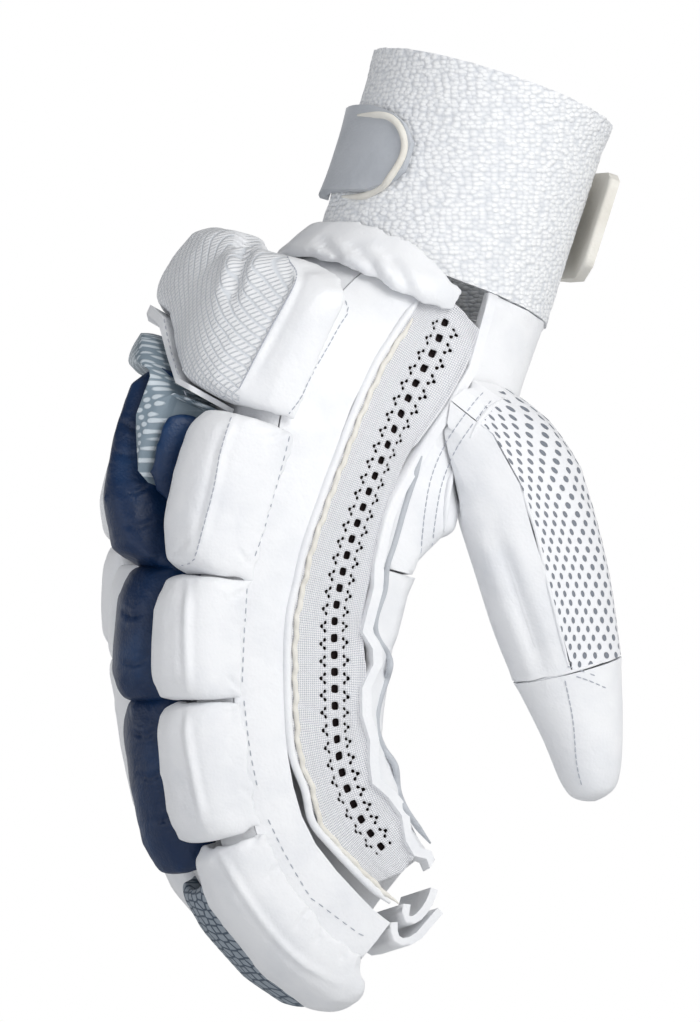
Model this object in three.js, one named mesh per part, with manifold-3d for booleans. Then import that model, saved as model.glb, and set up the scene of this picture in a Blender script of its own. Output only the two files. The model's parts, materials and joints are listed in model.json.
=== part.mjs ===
// A right-hand cricket batting glove, held up by its cuff with the fingers hanging down.
// Millimetres. +Z is up, +X is the palm side, -Y is the index and thumb side.
// The origin is the middle of the cuff's mouth, where the wrist goes in.
import * as THREE from 'three';
import { mergeVertices } from 'three/addons/utils/BufferGeometryUtils.js';
import Module from 'manifold-3d';

const wasm = await Module();
wasm.setup();

// Driving sizes of the whole glove
const gloveDrop = 248;        // cuff mouth down to the last row of the index finger
const gloveThrow = 78;        // how far the knuckles bow out behind the cuff mouth
const handHalfWidth = 49;     // half the hand's width over the four stalls
const wristRadius = 36.5;     // outside of the leather at the wrist
const knuckleArch = 8;        // rise of the middle of the hand over its two sides

// The cuff and what is on it
const cuffLength = 64;
const cuffRadius = 37.3;
const cuffWall = 2.8;
const cuffHem = 0.9;          // how far the rolled hem stands out
const cuffSwell = 0.25;       // how far the knit swells between hem and wrist
const badgeWidth = 48;
const badgeHeight = 27;
const badgeThickness = 2.6;
const strapWidth = 34;
const strapThickness = 3;
const strapReach = 26;        // free length of the strap's end
const rollThickness = 6.5;

// Walls and clearances
const leatherWall = 1.8;
const knitWall = 2.2;
const welt = 3;               // width of the welt between gusset and palm
const weltRise = 1.5;
const seamGap = 0.4;          // sewn edges that face each other
const padGap = 0.8;           // between a pad and the leather below it
const padSkin = 1;            // the least thickness of a pad, at its sewn ends
const padSeat = -0.76;        // share of the half depth down to which a pad wraps the side

// Fingers and thumb
const fingerHalfWidth = 10.8;
const fingerHalfDepth = 28;
const blockHalfWidth = 12.1;
const blockHeight = 15;
const guardHeight = 19;
const rollHalfWidth = 2.5;    // of the navy roll in the valley beside the first block
const thumbHalfWidth = 20.5;
const thumbDrop = 120;        // from the thumb's hidden root to its tip
const thumbWall = 2;
const seatGap = 0.8;          // between the thumb's root and the palm it is sewn to

// Holes that are cut through
const gussetHole = 1.5;       // half the diagonal of one diamond
const gussetPitch = 6.3;
const meshHole = 1.3;
const meshColumns = 6;        // facets of the mesh panel round the thumb, a hole in every other
const meshHoleRows = 8;

// The index ray from the wrist to the tip: a row for each section.
// out and down place its middle (shares of gloveThrow and gloveDrop), lean is in degrees,
// depth is a share of fingerHalfDepth, width and bulge are shares of handHalfWidth, square is
// the exponent of the outline, and seam, edge and vent are the places of the block seam, the
// folded edge and the far side of the gusset, as shares of the half depth.
const wristRow = wristRadius / handHalfWidth;
const fingerRow = fingerHalfWidth / handHalfWidth;
const raySections = [
  { out: 0.276, down: 0.245, lean: 19, depth: wristRadius / fingerHalfDepth,
    width: wristRow, bulge: wristRow, square: 2.1, seam: -0.75, edge: -0.32, vent: 0.1 },
  { out: 0.465, down: 0.323, lean: 22, depth: 1.54,
    width: 0.84, bulge: 0.6, square: 2.5, seam: -0.76, edge: -0.33, vent: 0.27 },
  { out: 0.67, down: 0.41, lean: 23, depth: 1.304,
    width: 0.92, bulge: 0.38, square: 3, seam: -0.84, edge: -0.34, vent: 0.32 },
  { out: 0.75, down: 0.462, lean: 21, depth: 1.268,
    width: 0.97, bulge: 0.28, square: 3.4, seam: -0.845, edge: -0.366, vent: 0.24 },
  { out: 0.814, down: 0.508, lean: 18, depth: 1.268,
    width: 0.99, bulge: 0.235, square: 3.8, seam: -0.845, edge: -0.38, vent: 0.21 },
  { out: 0.922, down: 0.565, lean: 13, depth: 1.107,
    width: 1, bulge: fingerRow, square: 4, seam: -0.82, edge: -0.34, vent: 0.39 },
  { out: 0.985, down: 0.646, lean: 4, depth: 1.071,
    width: 1, bulge: fingerRow, square: 4, seam: -0.83, edge: -0.35, vent: 0.49 },
  { out: 1.009, down: 0.706, lean: -2, depth: 1.036,
    width: 1, bulge: fingerRow, square: 4, seam: -0.83, edge: -0.31, vent: 0.58 },
  { out: 1.004, down: 0.798, lean: -10, depth: 0.964,
    width: 1, bulge: fingerRow, square: 4, seam: -0.83, edge: -0.315, vent: 0.56 },
  { out: 0.923, down: 0.881, lean: -28, depth: 1.0,
    width: 1, bulge: fingerRow, square: 4, seam: -0.82, edge: -0.31, vent: 0.6 },
  { out: 0.756, down: 0.9595, lean: -48, depth: 0.911,
    width: 1, bulge: fingerRow, square: 3.6, seam: -0.8, edge: -0.216, vent: 0.63 },
  { out: 0.651, down: 0.9858, lean: -52, depth: 0.821,
    width: 1, bulge: fingerRow, square: 3.2, seam: -0.81, edge: -0.24, vent: 0.587 },
];
const crotchRow = 5;          // where the hand parts into fingers
const lastRow = raySections.length - 1;
const gatherDepth = 0.07;     // how far the gathers pull the vent's edge, share of half depth
const gatherEvery = 1.35;     // rows from one gather to the next

// Fingers: the place of each across the hand (share of handHalfWidth), its last row, and how
// far its tip curls towards the palm
const fingers = {
  index: { across: -1 + fingerRow, end: lastRow },
  middle: { across: -0.273, end: lastRow },
  ring: { across: 0.233, end: lastRow - 0.2, curl: 9 },
  little: { across: 1 - fingerRow - 0.03, end: lastRow - 1.3, curl: 24 },
};

// Pads on the fingers: rows from and to, height as a share of blockHeight, and the colour.
// half is a share of blockHalfWidth and shift is in millimetres across the finger. nearTop is
// where the near edge of a widening roll starts, as a share of blockHalfWidth.
const padRows = [
  { name: 'index_block_1', finger: 'index', from: 2.95, to: 5.42, high: 1, finish: 'white' },
  { name: 'index_block_2', finger: 'index', from: 5.55, to: 7.2, high: 0.82, finish: 'white' },
  { name: 'index_block_3', finger: 'index', from: 7.3, to: 8.62, high: 0.78, finish: 'white' },
  { name: 'index_block_4', finger: 'index', from: 8.72, to: lastRow, high: 0.68,
    finish: 'white', nose: 9 },
  { name: 'index_inner_roll', finger: 'middle', from: 3.18, to: 4.5, high: 1.15,
    finish: 'navy', half: rollHalfWidth / blockHalfWidth, shift: rollHalfWidth - blockHalfWidth },
  { name: 'middle_roll_1', finger: 'middle', from: 2.64, to: 5.35, high: 1.5, finish: 'navy',
    nearTop: -0.02 },
  { name: 'middle_roll_2', finger: 'middle', from: 5.48, to: 7.15, high: 0.8, finish: 'navy' },
  { name: 'middle_roll_3', finger: 'middle', from: 7.27, to: 8.95, high: 0.66, finish: 'navy' },
  { name: 'middle_tip_pad', finger: 'middle', from: 9.07, to: lastRow, high: 0.36,
    finish: 'net', nose: 8 },
  { name: 'ring_roll_1', finger: 'ring', from: 3.0, to: 5.3, high: 1, finish: 'white' },
  { name: 'ring_roll_2', finger: 'ring', from: 5.42, to: 6.9, high: 0.42, finish: 'white' },
  { name: 'ring_roll_3', finger: 'ring', from: 7.0, to: 8.7, high: 0.4, finish: 'white' },
  { name: 'ring_roll_4', finger: 'ring', from: 8.82, to: lastRow - 0.2, high: 0.36,
    finish: 'white', nose: 7 },
  { name: 'little_roll_1', finger: 'little', from: 3.1, to: 5.1, high: 0.7, finish: 'white' },
  { name: 'little_roll_2', finger: 'little', from: 5.22, to: 6.6, high: 0.4, finish: 'white' },
  { name: 'little_roll_3', finger: 'little', from: 6.7, to: 8.1, high: 0.4, finish: 'white' },
  { name: 'little_roll_4', finger: 'little', from: 8.22, to: lastRow - 1.3, high: 0.36,
    finish: 'white', nose: 6 },
];

// The guard pad: rows across the hand (shares of handHalfWidth), with the ray rows where it
// starts and ends there, its height as a share of guardHeight, and how much of guardRise its
// top edge stands up
const guardRows = [
  { across: -0.985, from: 0.98, to: 2.74, high: 0.1, rise: 0 },
  { across: -0.955, from: 0.96, to: 2.76, high: 0.5, rise: 0.3 },
  { across: -0.84, from: 0.9, to: 2.78, high: 0.66, rise: 0.5 },
  { across: -0.74, from: 0.88, to: 2.78, high: 0.74, rise: 0.6 },
  { across: -0.6, from: 0.86, to: 2.74, high: 0.83, rise: 0.7 },
  { across: -0.42, from: 0.84, to: 2.62, high: 0.86, rise: 0.66 },
  { across: -0.16, from: 0.8, to: 2.1, high: 0.84, rise: 0.62 },
  { across: 0.08, from: 0.76, to: 1.62, high: 0.98, rise: 0.95 },
  { across: 0.36, from: 0.76, to: 1.47, high: 1.05, rise: 1.05 },
  { across: 0.62, from: 0.8, to: 1.46, high: 0.88, rise: 0.85 },
  { across: 0.72, from: 0.86, to: 1.45, high: 0.66, rise: 0.6 },
  { across: 0.8, from: 0.95, to: 1.43, high: 0.12, rise: 0.1 },
];
const guardRise = 13;         // how far the pad's top stands above its seam
const flangeGap = 0.06;       // rows between the guard pad and its flange
const flangeWidth = 0.11;     // rows that the flange is wide
const flangeHeight = 18;
const flangeLean = 1.5;       // how far its free edge leans towards the guard

// The panel over the middle knuckle, as the guard pad's rows
const knuckleRows = [
  { across: -0.505, from: 2.9, to: 2.97, high: 0.7 },
  { across: -0.42, from: 2.87, to: 2.98, high: 1 },
  { across: -0.405, from: 2.85, to: 4.6, high: 1.2 },
  { across: -0.335, from: 2.72, to: 3.9, high: 1.4 },
  { across: -0.315, from: 2.68, to: 2.74, high: 1.4 },
  { across: -0.27, from: 2.56, to: 2.6, high: 1.4 },
  { across: -0.2, from: 2.42, to: 2.57, high: 1.5 },
  { across: -0.06, from: 2.12, to: 2.57, high: 1.5 },
  { across: 0.08, from: 1.83, to: 2.57, high: 1.42 },
  { across: 0.24, from: 1.75, to: 2.57, high: 1.32 },
  { across: 0.34, from: 1.72, to: 2.3, high: 0.3 },
];

// Folded leather at the index finger's open end: places along its outline, deep and beyond
// the last row, as shares of fingerHalfDepth
const tipFolds = {
  tip_fold_inner: [
    { deep: 0.1, beyond: 0.05 },
    { deep: -0.02, beyond: 0.13 },
    { deep: 0.02, beyond: 0.22 },
    { deep: 0.15, beyond: 0.25 },
    { deep: 0.3, beyond: 0.24 },
    { deep: 0.42, beyond: 0.2 },
  ],
  tip_fold_outer: [
    { deep: -0.14, beyond: 0.05 },
    { deep: -0.25, beyond: 0.15 },
    { deep: -0.24, beyond: 0.27 },
    { deep: -0.1, beyond: 0.36 },
    { deep: 0.1, beyond: 0.38 },
    { deep: 0.28, beyond: 0.4 },
  ],
};
const foldWall = 2.4;

// The thumb: a row for each section. out and down place its middle (shares of thumbHalfWidth
// and thumbDrop from its root), wide and deep are shares of thumbHalfWidth.
const thumbRoot = new THREE.Vector3(-17, -38, -93);
const thumbSections = [
  { out: -0.8, down: -0.03, aside: -0.4, wide: 0.8, deep: 0.62 },
  { out: 0.12, down: 0.12, aside: 0.1, wide: 0.95, deep: 0.72 },
  { out: 0.36, down: 0.27, aside: 0.28, wide: 1.02, deep: 0.76 },
  { out: 0.6, down: 0.42, aside: 0.4, wide: 1.0, deep: 0.78 },
  { out: 0.78, down: 0.56, aside: 0.48, wide: 0.95, deep: 0.76 },
  { out: 1.02, down: 0.71, aside: 0.54, wide: 0.79, deep: 0.68 },
  { out: 1.22, down: 0.84, aside: 0.56, wide: 0.6, deep: 0.56 },
  { out: 1.33, down: 0.95, aside: 0.56, wide: 0.46, deep: 0.46 },
  { out: 1.38, down: 0.99, aside: 0.56, wide: 0.3, deep: 0.3 },
];
const thumbTipRow = { out: 1.4, down: 1.01, aside: 0.56 };
const thumbCapRow = 4.75;     // where the tip cap starts
const meshFrom = -104;        // degrees: the mesh panel's edge towards the fingers
const meshTo = 34;            // degrees: its edge on the far side

const finishes = {
  white: { color: 0xf4f5f7, roughness: 0.55 },
  navy: { color: 0x0b2f55, roughness: 0.5 },
  net: { color: 0x77838f, roughness: 0.7 },
  silver: { color: 0x8c9ba6, roughness: 0.45 },
  knit: { color: 0xedeff2, roughness: 0.9 },
  cream: { color: 0xefece4, roughness: 0.6 },
  grey: { color: 0xc4c9cf, roughness: 0.6 },
};
const glove = new THREE.Group();

function addPiece(name, geometry, finish) {
  const look = finishes[finish];
  const material = new THREE.MeshStandardMaterial({ ...look, metalness: 0 });
  const mesh = new THREE.Mesh(geometry, material);
  mesh.name = name;
  glove.add(mesh);
}

// A value of a table between its rows, on a smooth curve through them
function between(rows, column, at) {
  const place = Math.min(Math.max(at, 0), rows.length - 1);
  const row = Math.min(Math.floor(place), rows.length - 2);
  const value = (k) => rows[Math.min(Math.max(k, 0), rows.length - 1)][column];
  const f = place - row;
  const start = value(row);
  const end = value(row + 1);
  const slopeStart = (end - value(row - 1)) / 2;
  const slopeEnd = (value(row + 2) - start) / 2;
  const f2 = f * f;
  const f3 = f2 * f;
  return (2 * f3 - 3 * f2 + 1) * start + (f3 - 2 * f2 + f) * slopeStart
    + (3 * f2 - 2 * f3) * end + (f3 - f2) * slopeEnd;
}

// The section of the hand and index ray at a row: its middle, its two directions and sizes.
// Above the first row it goes on straight along the cuff.
function raySection(at) {
  const lean = THREE.MathUtils.degToRad(between(raySections, 'lean', at));
  const palmward = new THREE.Vector3(Math.cos(lean), 0, -Math.sin(lean));
  const down = new THREE.Vector3(-Math.sin(lean), 0, -Math.cos(lean));
  const middle = new THREE.Vector3(
    -between(raySections, 'out', at) * gloveThrow,
    0,
    -between(raySections, 'down', at) * gloveDrop,
  );
  if (at < 0) middle.addScaledVector(down, at * cuffLength);
  return {
    middle,
    palmward,
    down,
    depth: between(raySections, 'depth', at) * fingerHalfDepth,
    width: between(raySections, 'width', at) * handHalfWidth,
    bulge: between(raySections, 'bulge', at) * handHalfWidth,
    square: between(raySections, 'square', at),
  };
}

// A place on a section's outline at an angle: 0 is the palm, -90 the index side, 180 the back.
// With a finger it is that finger's own stall, and without one the whole hand.
function outlinePlace(section, angle, outward, finger) {
  const turn = THREE.MathUtils.degToRad(angle);
  const c = Math.cos(turn);
  const s = Math.sin(turn);
  const n = section.square;
  const reach = (Math.abs(c) ** n + Math.abs(s) ** n) ** (-1 / n);
  const deepShare = c * reach;
  const wideShare = s * reach;
  const normal = new THREE.Vector2(
    Math.sign(c) * Math.abs(deepShare) ** (n - 1) / section.depth,
    Math.sign(s) * Math.abs(wideShare) ** (n - 1) / section.bulge,
  ).normalize();
  const straight = section.width - section.bulge;
  const aside = finger ? finger.across * handHalfWidth
    : straight * Math.min(Math.max(s / 0.5, -1), 1);
  return {
    deep: section.depth * deepShare + normal.x * outward,
    y: aside + section.bulge * wideShare + normal.y * outward,
  };
}

function outlinePoint(section, angle, outward, finger) {
  const { deep, y } = outlinePlace(section, angle, outward, finger);
  return placeInSection(section, deep, y);
}

// The arch of the knuckles lifts what lies near the middle of the hand
function placeInSection(section, deep, y) {
  const share = Math.min(Math.abs(y) / handHalfWidth, 1);
  const lift = knuckleArch * (1 - share * share) * Math.min(1, section.archShare ?? 1);
  const point = section.middle.clone().addScaledVector(section.palmward, deep - lift);
  point.y = y;
  return point;
}

// A finger's section: the far fingers curl towards the palm below the crotch
function fingerSection(at, finger) {
  const section = seamedSection(at);
  const share = Math.max(0, (at - crotchRow) / (lastRow - crotchRow));
  section.middle.addScaledVector(section.palmward, (finger.curl ?? 0) * share ** 1.2);
  return section;
}

// How deep the back of a stall, or of the whole hand, lies at a place across it
function stallDepth(section, offset) {
  const share = Math.min(Math.abs(offset) / section.bulge, 1);
  return section.depth * (1 - share ** section.square) ** (1 / section.square);
}

function handDepth(section, y) {
  return stallDepth(section, Math.max(0, Math.abs(y) - (section.width - section.bulge)));
}

// The angle on the index side at which the outline lies at a share of its half depth
function sideAngle(section, share) {
  const limited = Math.min(Math.max(share, -0.999), 0.999);
  const across = (1 - Math.abs(limited) ** section.square) ** (1 / section.square);
  return THREE.MathUtils.radToDeg(-Math.atan2(across, limited));
}

// A section with the places of the seams on the index side, each as an angle
function seamedSection(at) {
  const section = raySection(at);
  section.archShare = Math.min(Math.max(at / 2, 0), 1);
  const gather = gatherDepth * Math.sin((at - crotchRow) * 2 * Math.PI / gatherEvery)
    * Math.min(Math.max(at - crotchRow, 0), 1);
  const vent = between(raySections, 'vent', at) + gather;
  const gap = seamGap / section.depth;
  section.seam = sideAngle(section, between(raySections, 'seam', at));
  section.edge = sideAngle(section, between(raySections, 'edge', at));
  section.ventStart = sideAngle(section, between(raySections, 'edge', at) + gap);
  section.vent = sideAngle(section, vent);
  section.weltStart = sideAngle(section, vent + gap);
  section.weltEnd = sideAngle(section, vent + gap + welt / section.depth);
  section.seatStart = sideAngle(section, vent + gap - seatGap / section.depth);
  section.seatEnd = sideAngle(section, vent + gap + (welt + seatGap) / section.depth);
  section.palmStart = sideAngle(section, vent + 2 * gap + welt / section.depth);
  section.backEnd = sideAngle(section, between(raySections, 'seam', at) - gap);
  section.backRound = section.backEnd + 360;
  return section;
}

function solidFrom(vertices, faces) {
  const geometry = new THREE.BufferGeometry();
  const flat = vertices.flatMap((p) => [p.x, p.y, p.z]);
  geometry.setAttribute('position', new THREE.Float32BufferAttribute(flat, 3));
  let volume = 0;
  for (const [a, b, c] of faces) {
    volume += vertices[a].dot(vertices[b].clone().cross(vertices[c]));
  }
  geometry.setIndex(faces.flatMap(([a, b, c]) => (volume > 0 ? [a, b, c] : [a, c, b])));
  return geometry;
}

// A wall between two grids of points, the outer and the inner one, closed all round.
// When the grid goes round, its last column meets its first.
function wallSolid(outer, inner, goesRound = false) {
  const rows = outer.length;
  const columns = outer[0].length;
  const vertices = [...outer.flat(), ...inner.flat()];
  const at = (side, i, j) => (side * rows + i) * columns + (j % columns);
  const faces = [];
  const quad = (a, b, c, d) => faces.push([a, b, c], [a, c, d]);
  const lastColumn = goesRound ? columns : columns - 1;
  for (let i = 0; i < rows - 1; i += 1) {
    for (let j = 0; j < lastColumn; j += 1) {
      quad(at(0, i, j), at(0, i, j + 1), at(0, i + 1, j + 1), at(0, i + 1, j));
      quad(at(1, i, j), at(1, i + 1, j), at(1, i + 1, j + 1), at(1, i, j + 1));
    }
    if (!goesRound) {
      quad(at(0, i, 0), at(0, i + 1, 0), at(1, i + 1, 0), at(1, i, 0));
      const j = columns - 1;
      quad(at(0, i, j), at(1, i, j), at(1, i + 1, j), at(0, i + 1, j));
    }
  }
  for (let j = 0; j < lastColumn; j += 1) {
    quad(at(0, 0, j), at(1, 0, j), at(1, 0, j + 1), at(0, 0, j + 1));
    const i = rows - 1;
    quad(at(0, i, j), at(0, i, j + 1), at(1, i, j + 1), at(1, i, j));
  }
  return solidFrom(vertices, faces);
}

// A bag: two grids that go round, joined at their first row and closed by a tip each.
// Without an inner grid it is a full body with a flat first row.
function bagSolid(outer, outerTip, inner, innerTip) {
  const columns = outer[0].length;
  const vertices = [...outer.flat(), outerTip];
  const faces = [];
  const tube = (start, rows, tip, flip) => {
    const at = (i, j) => start + i * columns + (j % columns);
    for (let j = 0; j < columns; j += 1) {
      for (let i = 0; i < rows - 1; i += 1) {
        const corners = [at(i, j), at(i, j + 1), at(i + 1, j + 1), at(i + 1, j)];
        if (flip) corners.reverse();
        faces.push([corners[0], corners[1], corners[2]], [corners[0], corners[2], corners[3]]);
      }
      const end = [at(rows - 1, j), at(rows - 1, j + 1), tip];
      faces.push(flip ? end.reverse() : end);
    }
  };
  tube(0, outer.length, outer.length * columns, false);
  if (inner) {
    const start = vertices.length;
    vertices.push(...inner.flat(), innerTip);
    tube(start, inner.length, start + inner.length * columns, true);
    for (let j = 0; j < columns; j += 1) {
      const next = (j + 1) % columns;
      faces.push([j, start + j, start + next], [j, start + next, next]);
    }
  } else {
    const centre = vertices.length;
    const sum = outer[0].reduce((total, p) => total.add(p), new THREE.Vector3());
    vertices.push(sum.divideScalar(columns));
    for (let j = 0; j < columns; j += 1) faces.push([(j + 1) % columns, j, centre]);
  }
  return solidFrom(vertices, faces);
}

function steps(from, to, count) {
  return Array.from({ length: count + 1 }, (_, k) => from + (to - from) * k / count);
}

function toManifold(geometry) {
  const plain = geometry.clone();
  plain.deleteAttribute('normal');
  plain.deleteAttribute('uv');
  const merged = mergeVertices(plain, 1e-4);
  return new wasm.Manifold(new wasm.Mesh({
    numProp: 3,
    vertProperties: new Float32Array(merged.attributes.position.array),
    triVerts: new Uint32Array(merged.index.array),
  }));
}

function toGeometry(manifold) {
  const mesh = manifold.getMesh();
  const geometry = new THREE.BufferGeometry();
  const positions = new THREE.BufferAttribute(new Float32Array(mesh.vertProperties), 3);
  geometry.setAttribute('position', positions);
  geometry.setIndex(new THREE.BufferAttribute(new Uint32Array(mesh.triVerts), 1));
  return geometry;
}

// The largest body of a solid: what a cut leaves loose beside it is dropped
function largestBody(solid) {
  const bodies = solid.decompose();
  return bodies.reduce((best, body) => (body.volume() > best.volume() ? body : best));
}

function cutAll(geometry, cutters) {
  let solid = toManifold(geometry);
  for (const cutter of cutters) solid = solid.subtract(toManifold(cutter));
  return toGeometry(solid);
}

// A many-sided pin across a wall, used to open one hole
function holePin(centre, direction, radius, length, sides) {
  const pin = new THREE.CylinderGeometry(radius, radius, length, sides);
  const up = new THREE.Vector3(0, 1, 0);
  pin.applyQuaternion(new THREE.Quaternion().setFromUnitVectors(up, direction));
  pin.translate(centre.x, centre.y, centre.z);
  return pin;
}

// A strip of the hand's wall between two seam angles, from one row to another
function wallStrip(rows, columns, start, end, rise, wall, finger) {
  const grid = (outward) => rows.map((at) => {
    const section = seamedSection(at);
    return steps(section[start] ?? start, section[end] ?? end, columns)
      .map((angle) => outlinePoint(section, angle, outward, finger));
  });
  return wallSolid(grid(rise), grid(-wall));
}

// Cuff: a straight round tube along the wrist, with a rolled hem at its mouth
const cuffEnd = raySection(0);
const cuffSides = 24;

function cuffPoint(along, angle, radius) {
  const turn = THREE.MathUtils.degToRad(angle);
  const point = cuffEnd.middle.clone()
    .addScaledVector(cuffEnd.down, -along)
    .addScaledVector(cuffEnd.palmward, radius * Math.cos(turn));
  point.y = radius * Math.sin(turn);
  return point;
}

function cuffRing(along, radius) {
  return steps(-180, 180, cuffSides).slice(0, -1).map((a) => cuffPoint(along, a, radius));
}

function makeCuff() {
  const shape = [
    { along: seamGap / cuffLength, out: 0 },
    { along: 0.4, out: 0 },
    { along: 0.7, out: 0.2 },
    { along: 0.9, out: cuffSwell },
    { along: 0.93, out: cuffHem },
    { along: 1, out: cuffHem },
  ];
  const outer = shape.map((row) => cuffRing(row.along * cuffLength, cuffRadius + row.out));
  const inner = shape.map((row) => cuffRing(row.along * cuffLength, cuffRadius - cuffWall));
  addPiece('cuff', wallSolid(outer, inner, true), 'knit');
}

// Badge tab: a patch with a round end, bent round the cuff, with a raised edge
function makeBadge() {
  const edgeTurn = THREE.MathUtils.radToDeg(badgeWidth / cuffRadius);
  const nearAngle = -138;
  const middleAlong = cuffLength * 0.49;
  const base = cuffRadius + cuffSwell;
  const outline = (share) => Math.sqrt(Math.max(0, 1 - Math.max(0, share) ** 2.6));
  const grid = (radius) => steps(0, 1, 10).map((share) => {
    const angle = nearAngle - edgeTurn * (1 - share);
    const half = badgeHeight / 2 * Math.max(outline((share - 0.55) / 0.47), 0.3);
    return steps(-half, half, 4).map((along, k) => {
      const rim = k === 0 || k === 4 || share > 0.95 ? 0.5 : 0;
      return cuffPoint(middleAlong + along, angle, radius + (radius > base + 1 ? rim : 0));
    });
  });
  addPiece('badge_tab', wallSolid(grid(base + badgeThickness), grid(base + seamGap)), 'cream');
}

// Strap tab: the strap lies on the cuff's palm side and its end stands out a little
function makeStrap() {
  const middleAlong = cuffLength * 0.54;
  const base = cuffRadius + cuffSwell;
  const freeTurn = THREE.MathUtils.radToDeg(strapReach / cuffRadius);
  const rows = steps(-30, 30 + freeTurn, 7);
  const grid = (offset) => rows.map((angle, k) => {
    const lift = Math.max(0, 3 - k) * 1.5;
    const half = strapWidth / 2 * (k === 0 ? 0.8 : 1);
    return steps(-half, half, 3)
      .map((along) => cuffPoint(middleAlong + along, angle, base + offset + lift));
  });
  addPiece('strap_tab', wallSolid(grid(seamGap + strapThickness), grid(seamGap)), 'cream');
}

// Wrist roll: a soft roll over the joint of cuff and leather, round the back of the wrist
function makeWristRoll() {
  const rollRows = [
    { angle: -93, from: 0.16, to: 0.5, high: 0.12 },
    { angle: -101, from: 0.04, to: 0.56, high: 0.5 },
    { angle: -114, from: -0.08, to: 0.56, high: 0.85 },
    { angle: -132, from: -0.13, to: 0.46, high: 1 },
    { angle: -152, from: -0.15, to: 0.38, high: 1 },
    { angle: -180, from: -0.15, to: 0.34, high: 1 },
    { angle: -208, from: -0.15, to: 0.38, high: 1 },
    { angle: -230, from: -0.12, to: 0.44, high: 0.85 },
    { angle: -250, from: -0.08, to: 0.44, high: 0.4 },
  ];
  const clear = cuffRadius - wristRadius + seamGap + 0.5;
  const grid = (raised) => steps(0, rollRows.length - 1, 14).map((k) => {
    const [angle, from, to, high] = ['angle', 'from', 'to', 'high']
      .map((column) => between(rollRows, column, k));
    return steps(0, 1, 5).map((share) => {
      const section = seamedSection(from + (to - from) * share);
      const crown = Math.sqrt(Math.max(0, 1 - (2 * share - 1) ** 2)) * rollThickness * high;
      return outlinePoint(section, angle, clear + (raised ? Math.max(crown, 0.8) : 0));
    });
  });
  addPiece('wrist_roll', wallSolid(grid(true), grid(false)), 'white');
}

// Leather and knit walls of the hand and the index finger
const handRows = steps(0, crotchRow, 10);
const rayRows = steps(crotchRow, lastRow, 16).slice(1);
const allRows = [...handRows, ...rayRows];
const fingerRows = [crotchRow + 0.04, ...rayRows];

function thumbSection(at) {
  const row = Math.min(Math.max(at, 0), thumbSections.length - 1);
  return {
    middle: thumbRoot.clone().add(new THREE.Vector3(
      between(thumbSections, 'out', row) * thumbHalfWidth,
      -between(thumbSections, 'aside', row) * thumbHalfWidth,
      -between(thumbSections, 'down', row) * thumbDrop,
    )),
    wide: between(thumbSections, 'wide', row) * thumbHalfWidth,
    deep: between(thumbSections, 'deep', row) * thumbHalfWidth,
  };
}

const thumbLean = THREE.MathUtils.degToRad(14);

function thumbPoint(at, angle, outward) {
  const section = thumbSection(at);
  const turn = THREE.MathUtils.degToRad(angle);
  const across = (section.wide + outward) * Math.cos(turn);
  return section.middle.clone().add(new THREE.Vector3(
    across * Math.cos(thumbLean),
    (section.deep + outward) * Math.sin(turn),
    across * Math.sin(thumbLean),
  ));
}

function thumbRing(at, outward, count = 16) {
  return steps(-180, 180, count).slice(0, -1).map((angle) => thumbPoint(at, angle, outward));
}

function thumbTip(outward) {
  return thumbRoot.clone().add(new THREE.Vector3(
    thumbTipRow.out * thumbHalfWidth,
    -thumbTipRow.aside * thumbHalfWidth,
    -thumbTipRow.down * thumbDrop - outward,
  ));
}

const thumbLast = thumbSections.length - 1;
const thumbCavity = bagSolid(
  steps(0, thumbLast, 8).map((at) => thumbRing(at, -thumbWall)),
  thumbTip(-thumbWall * 2),
);

// The body of the hand as one full solid, a little larger than the leather
function handBody(outward) {
  const rings = [...handRows, ...rayRows.slice(0, 5)].map((at) => {
    const section = seamedSection(at);
    return steps(-180, 180, 36).slice(0, -1)
      .map((angle) => outlinePoint(section, angle, outward));
  });
  const last = rings[rings.length - 1];
  const sum = last.reduce((total, p) => total.add(p), new THREE.Vector3());
  return bagSolid(rings, sum.divideScalar(last.length));
}

function makeHandWalls() {
  const side = wallStrip(allRows, 2, 'seam', 'edge', 0, leatherWall);
  addPiece('side_leather', side, 'white');
  const vent = wallStrip(allRows, 2, 'ventStart', 'vent', 0, knitWall);
  addPiece('knit_gusset', cutAll(vent, gussetHoles()), 'knit');
  const weltWall = wallStrip(allRows, 1, 'weltStart', 'weltEnd', weltRise, leatherWall);
  addPiece('palm_welt', weltWall, 'white');
  const palm = wallStrip(handRows, 9, 'palmStart', 112, 0, leatherWall);
  addPiece('palm_leather', cutAll(palm, [thumbCavity]), 'white');
  const gapTurn = 1.2;
  const back = wallStrip(handRows, 11, 112 + gapTurn - 360, 'backEnd', 0, leatherWall);
  addPiece('back_leather', back, 'white');
}

// Diamond holes in a row down the middle of the gusset
function gussetHoles() {
  const pins = [];
  let last = null;
  for (const at of steps(0.2, lastRow - 0.35, 400)) {
    const section = seamedSection(at);
    const angle = section.ventStart * 0.38 + section.vent * 0.62;
    const inside = outlinePoint(section, angle, -knitWall / 2);
    if (last && inside.distanceTo(last) < gussetPitch) continue;
    last = inside;
    const outside = outlinePoint(section, angle, knitWall);
    const direction = outside.sub(inside).normalize();
    pins.push(holePin(inside, direction, gussetHole, knitWall * 3, 4));
  }
  return pins;
}

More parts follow.
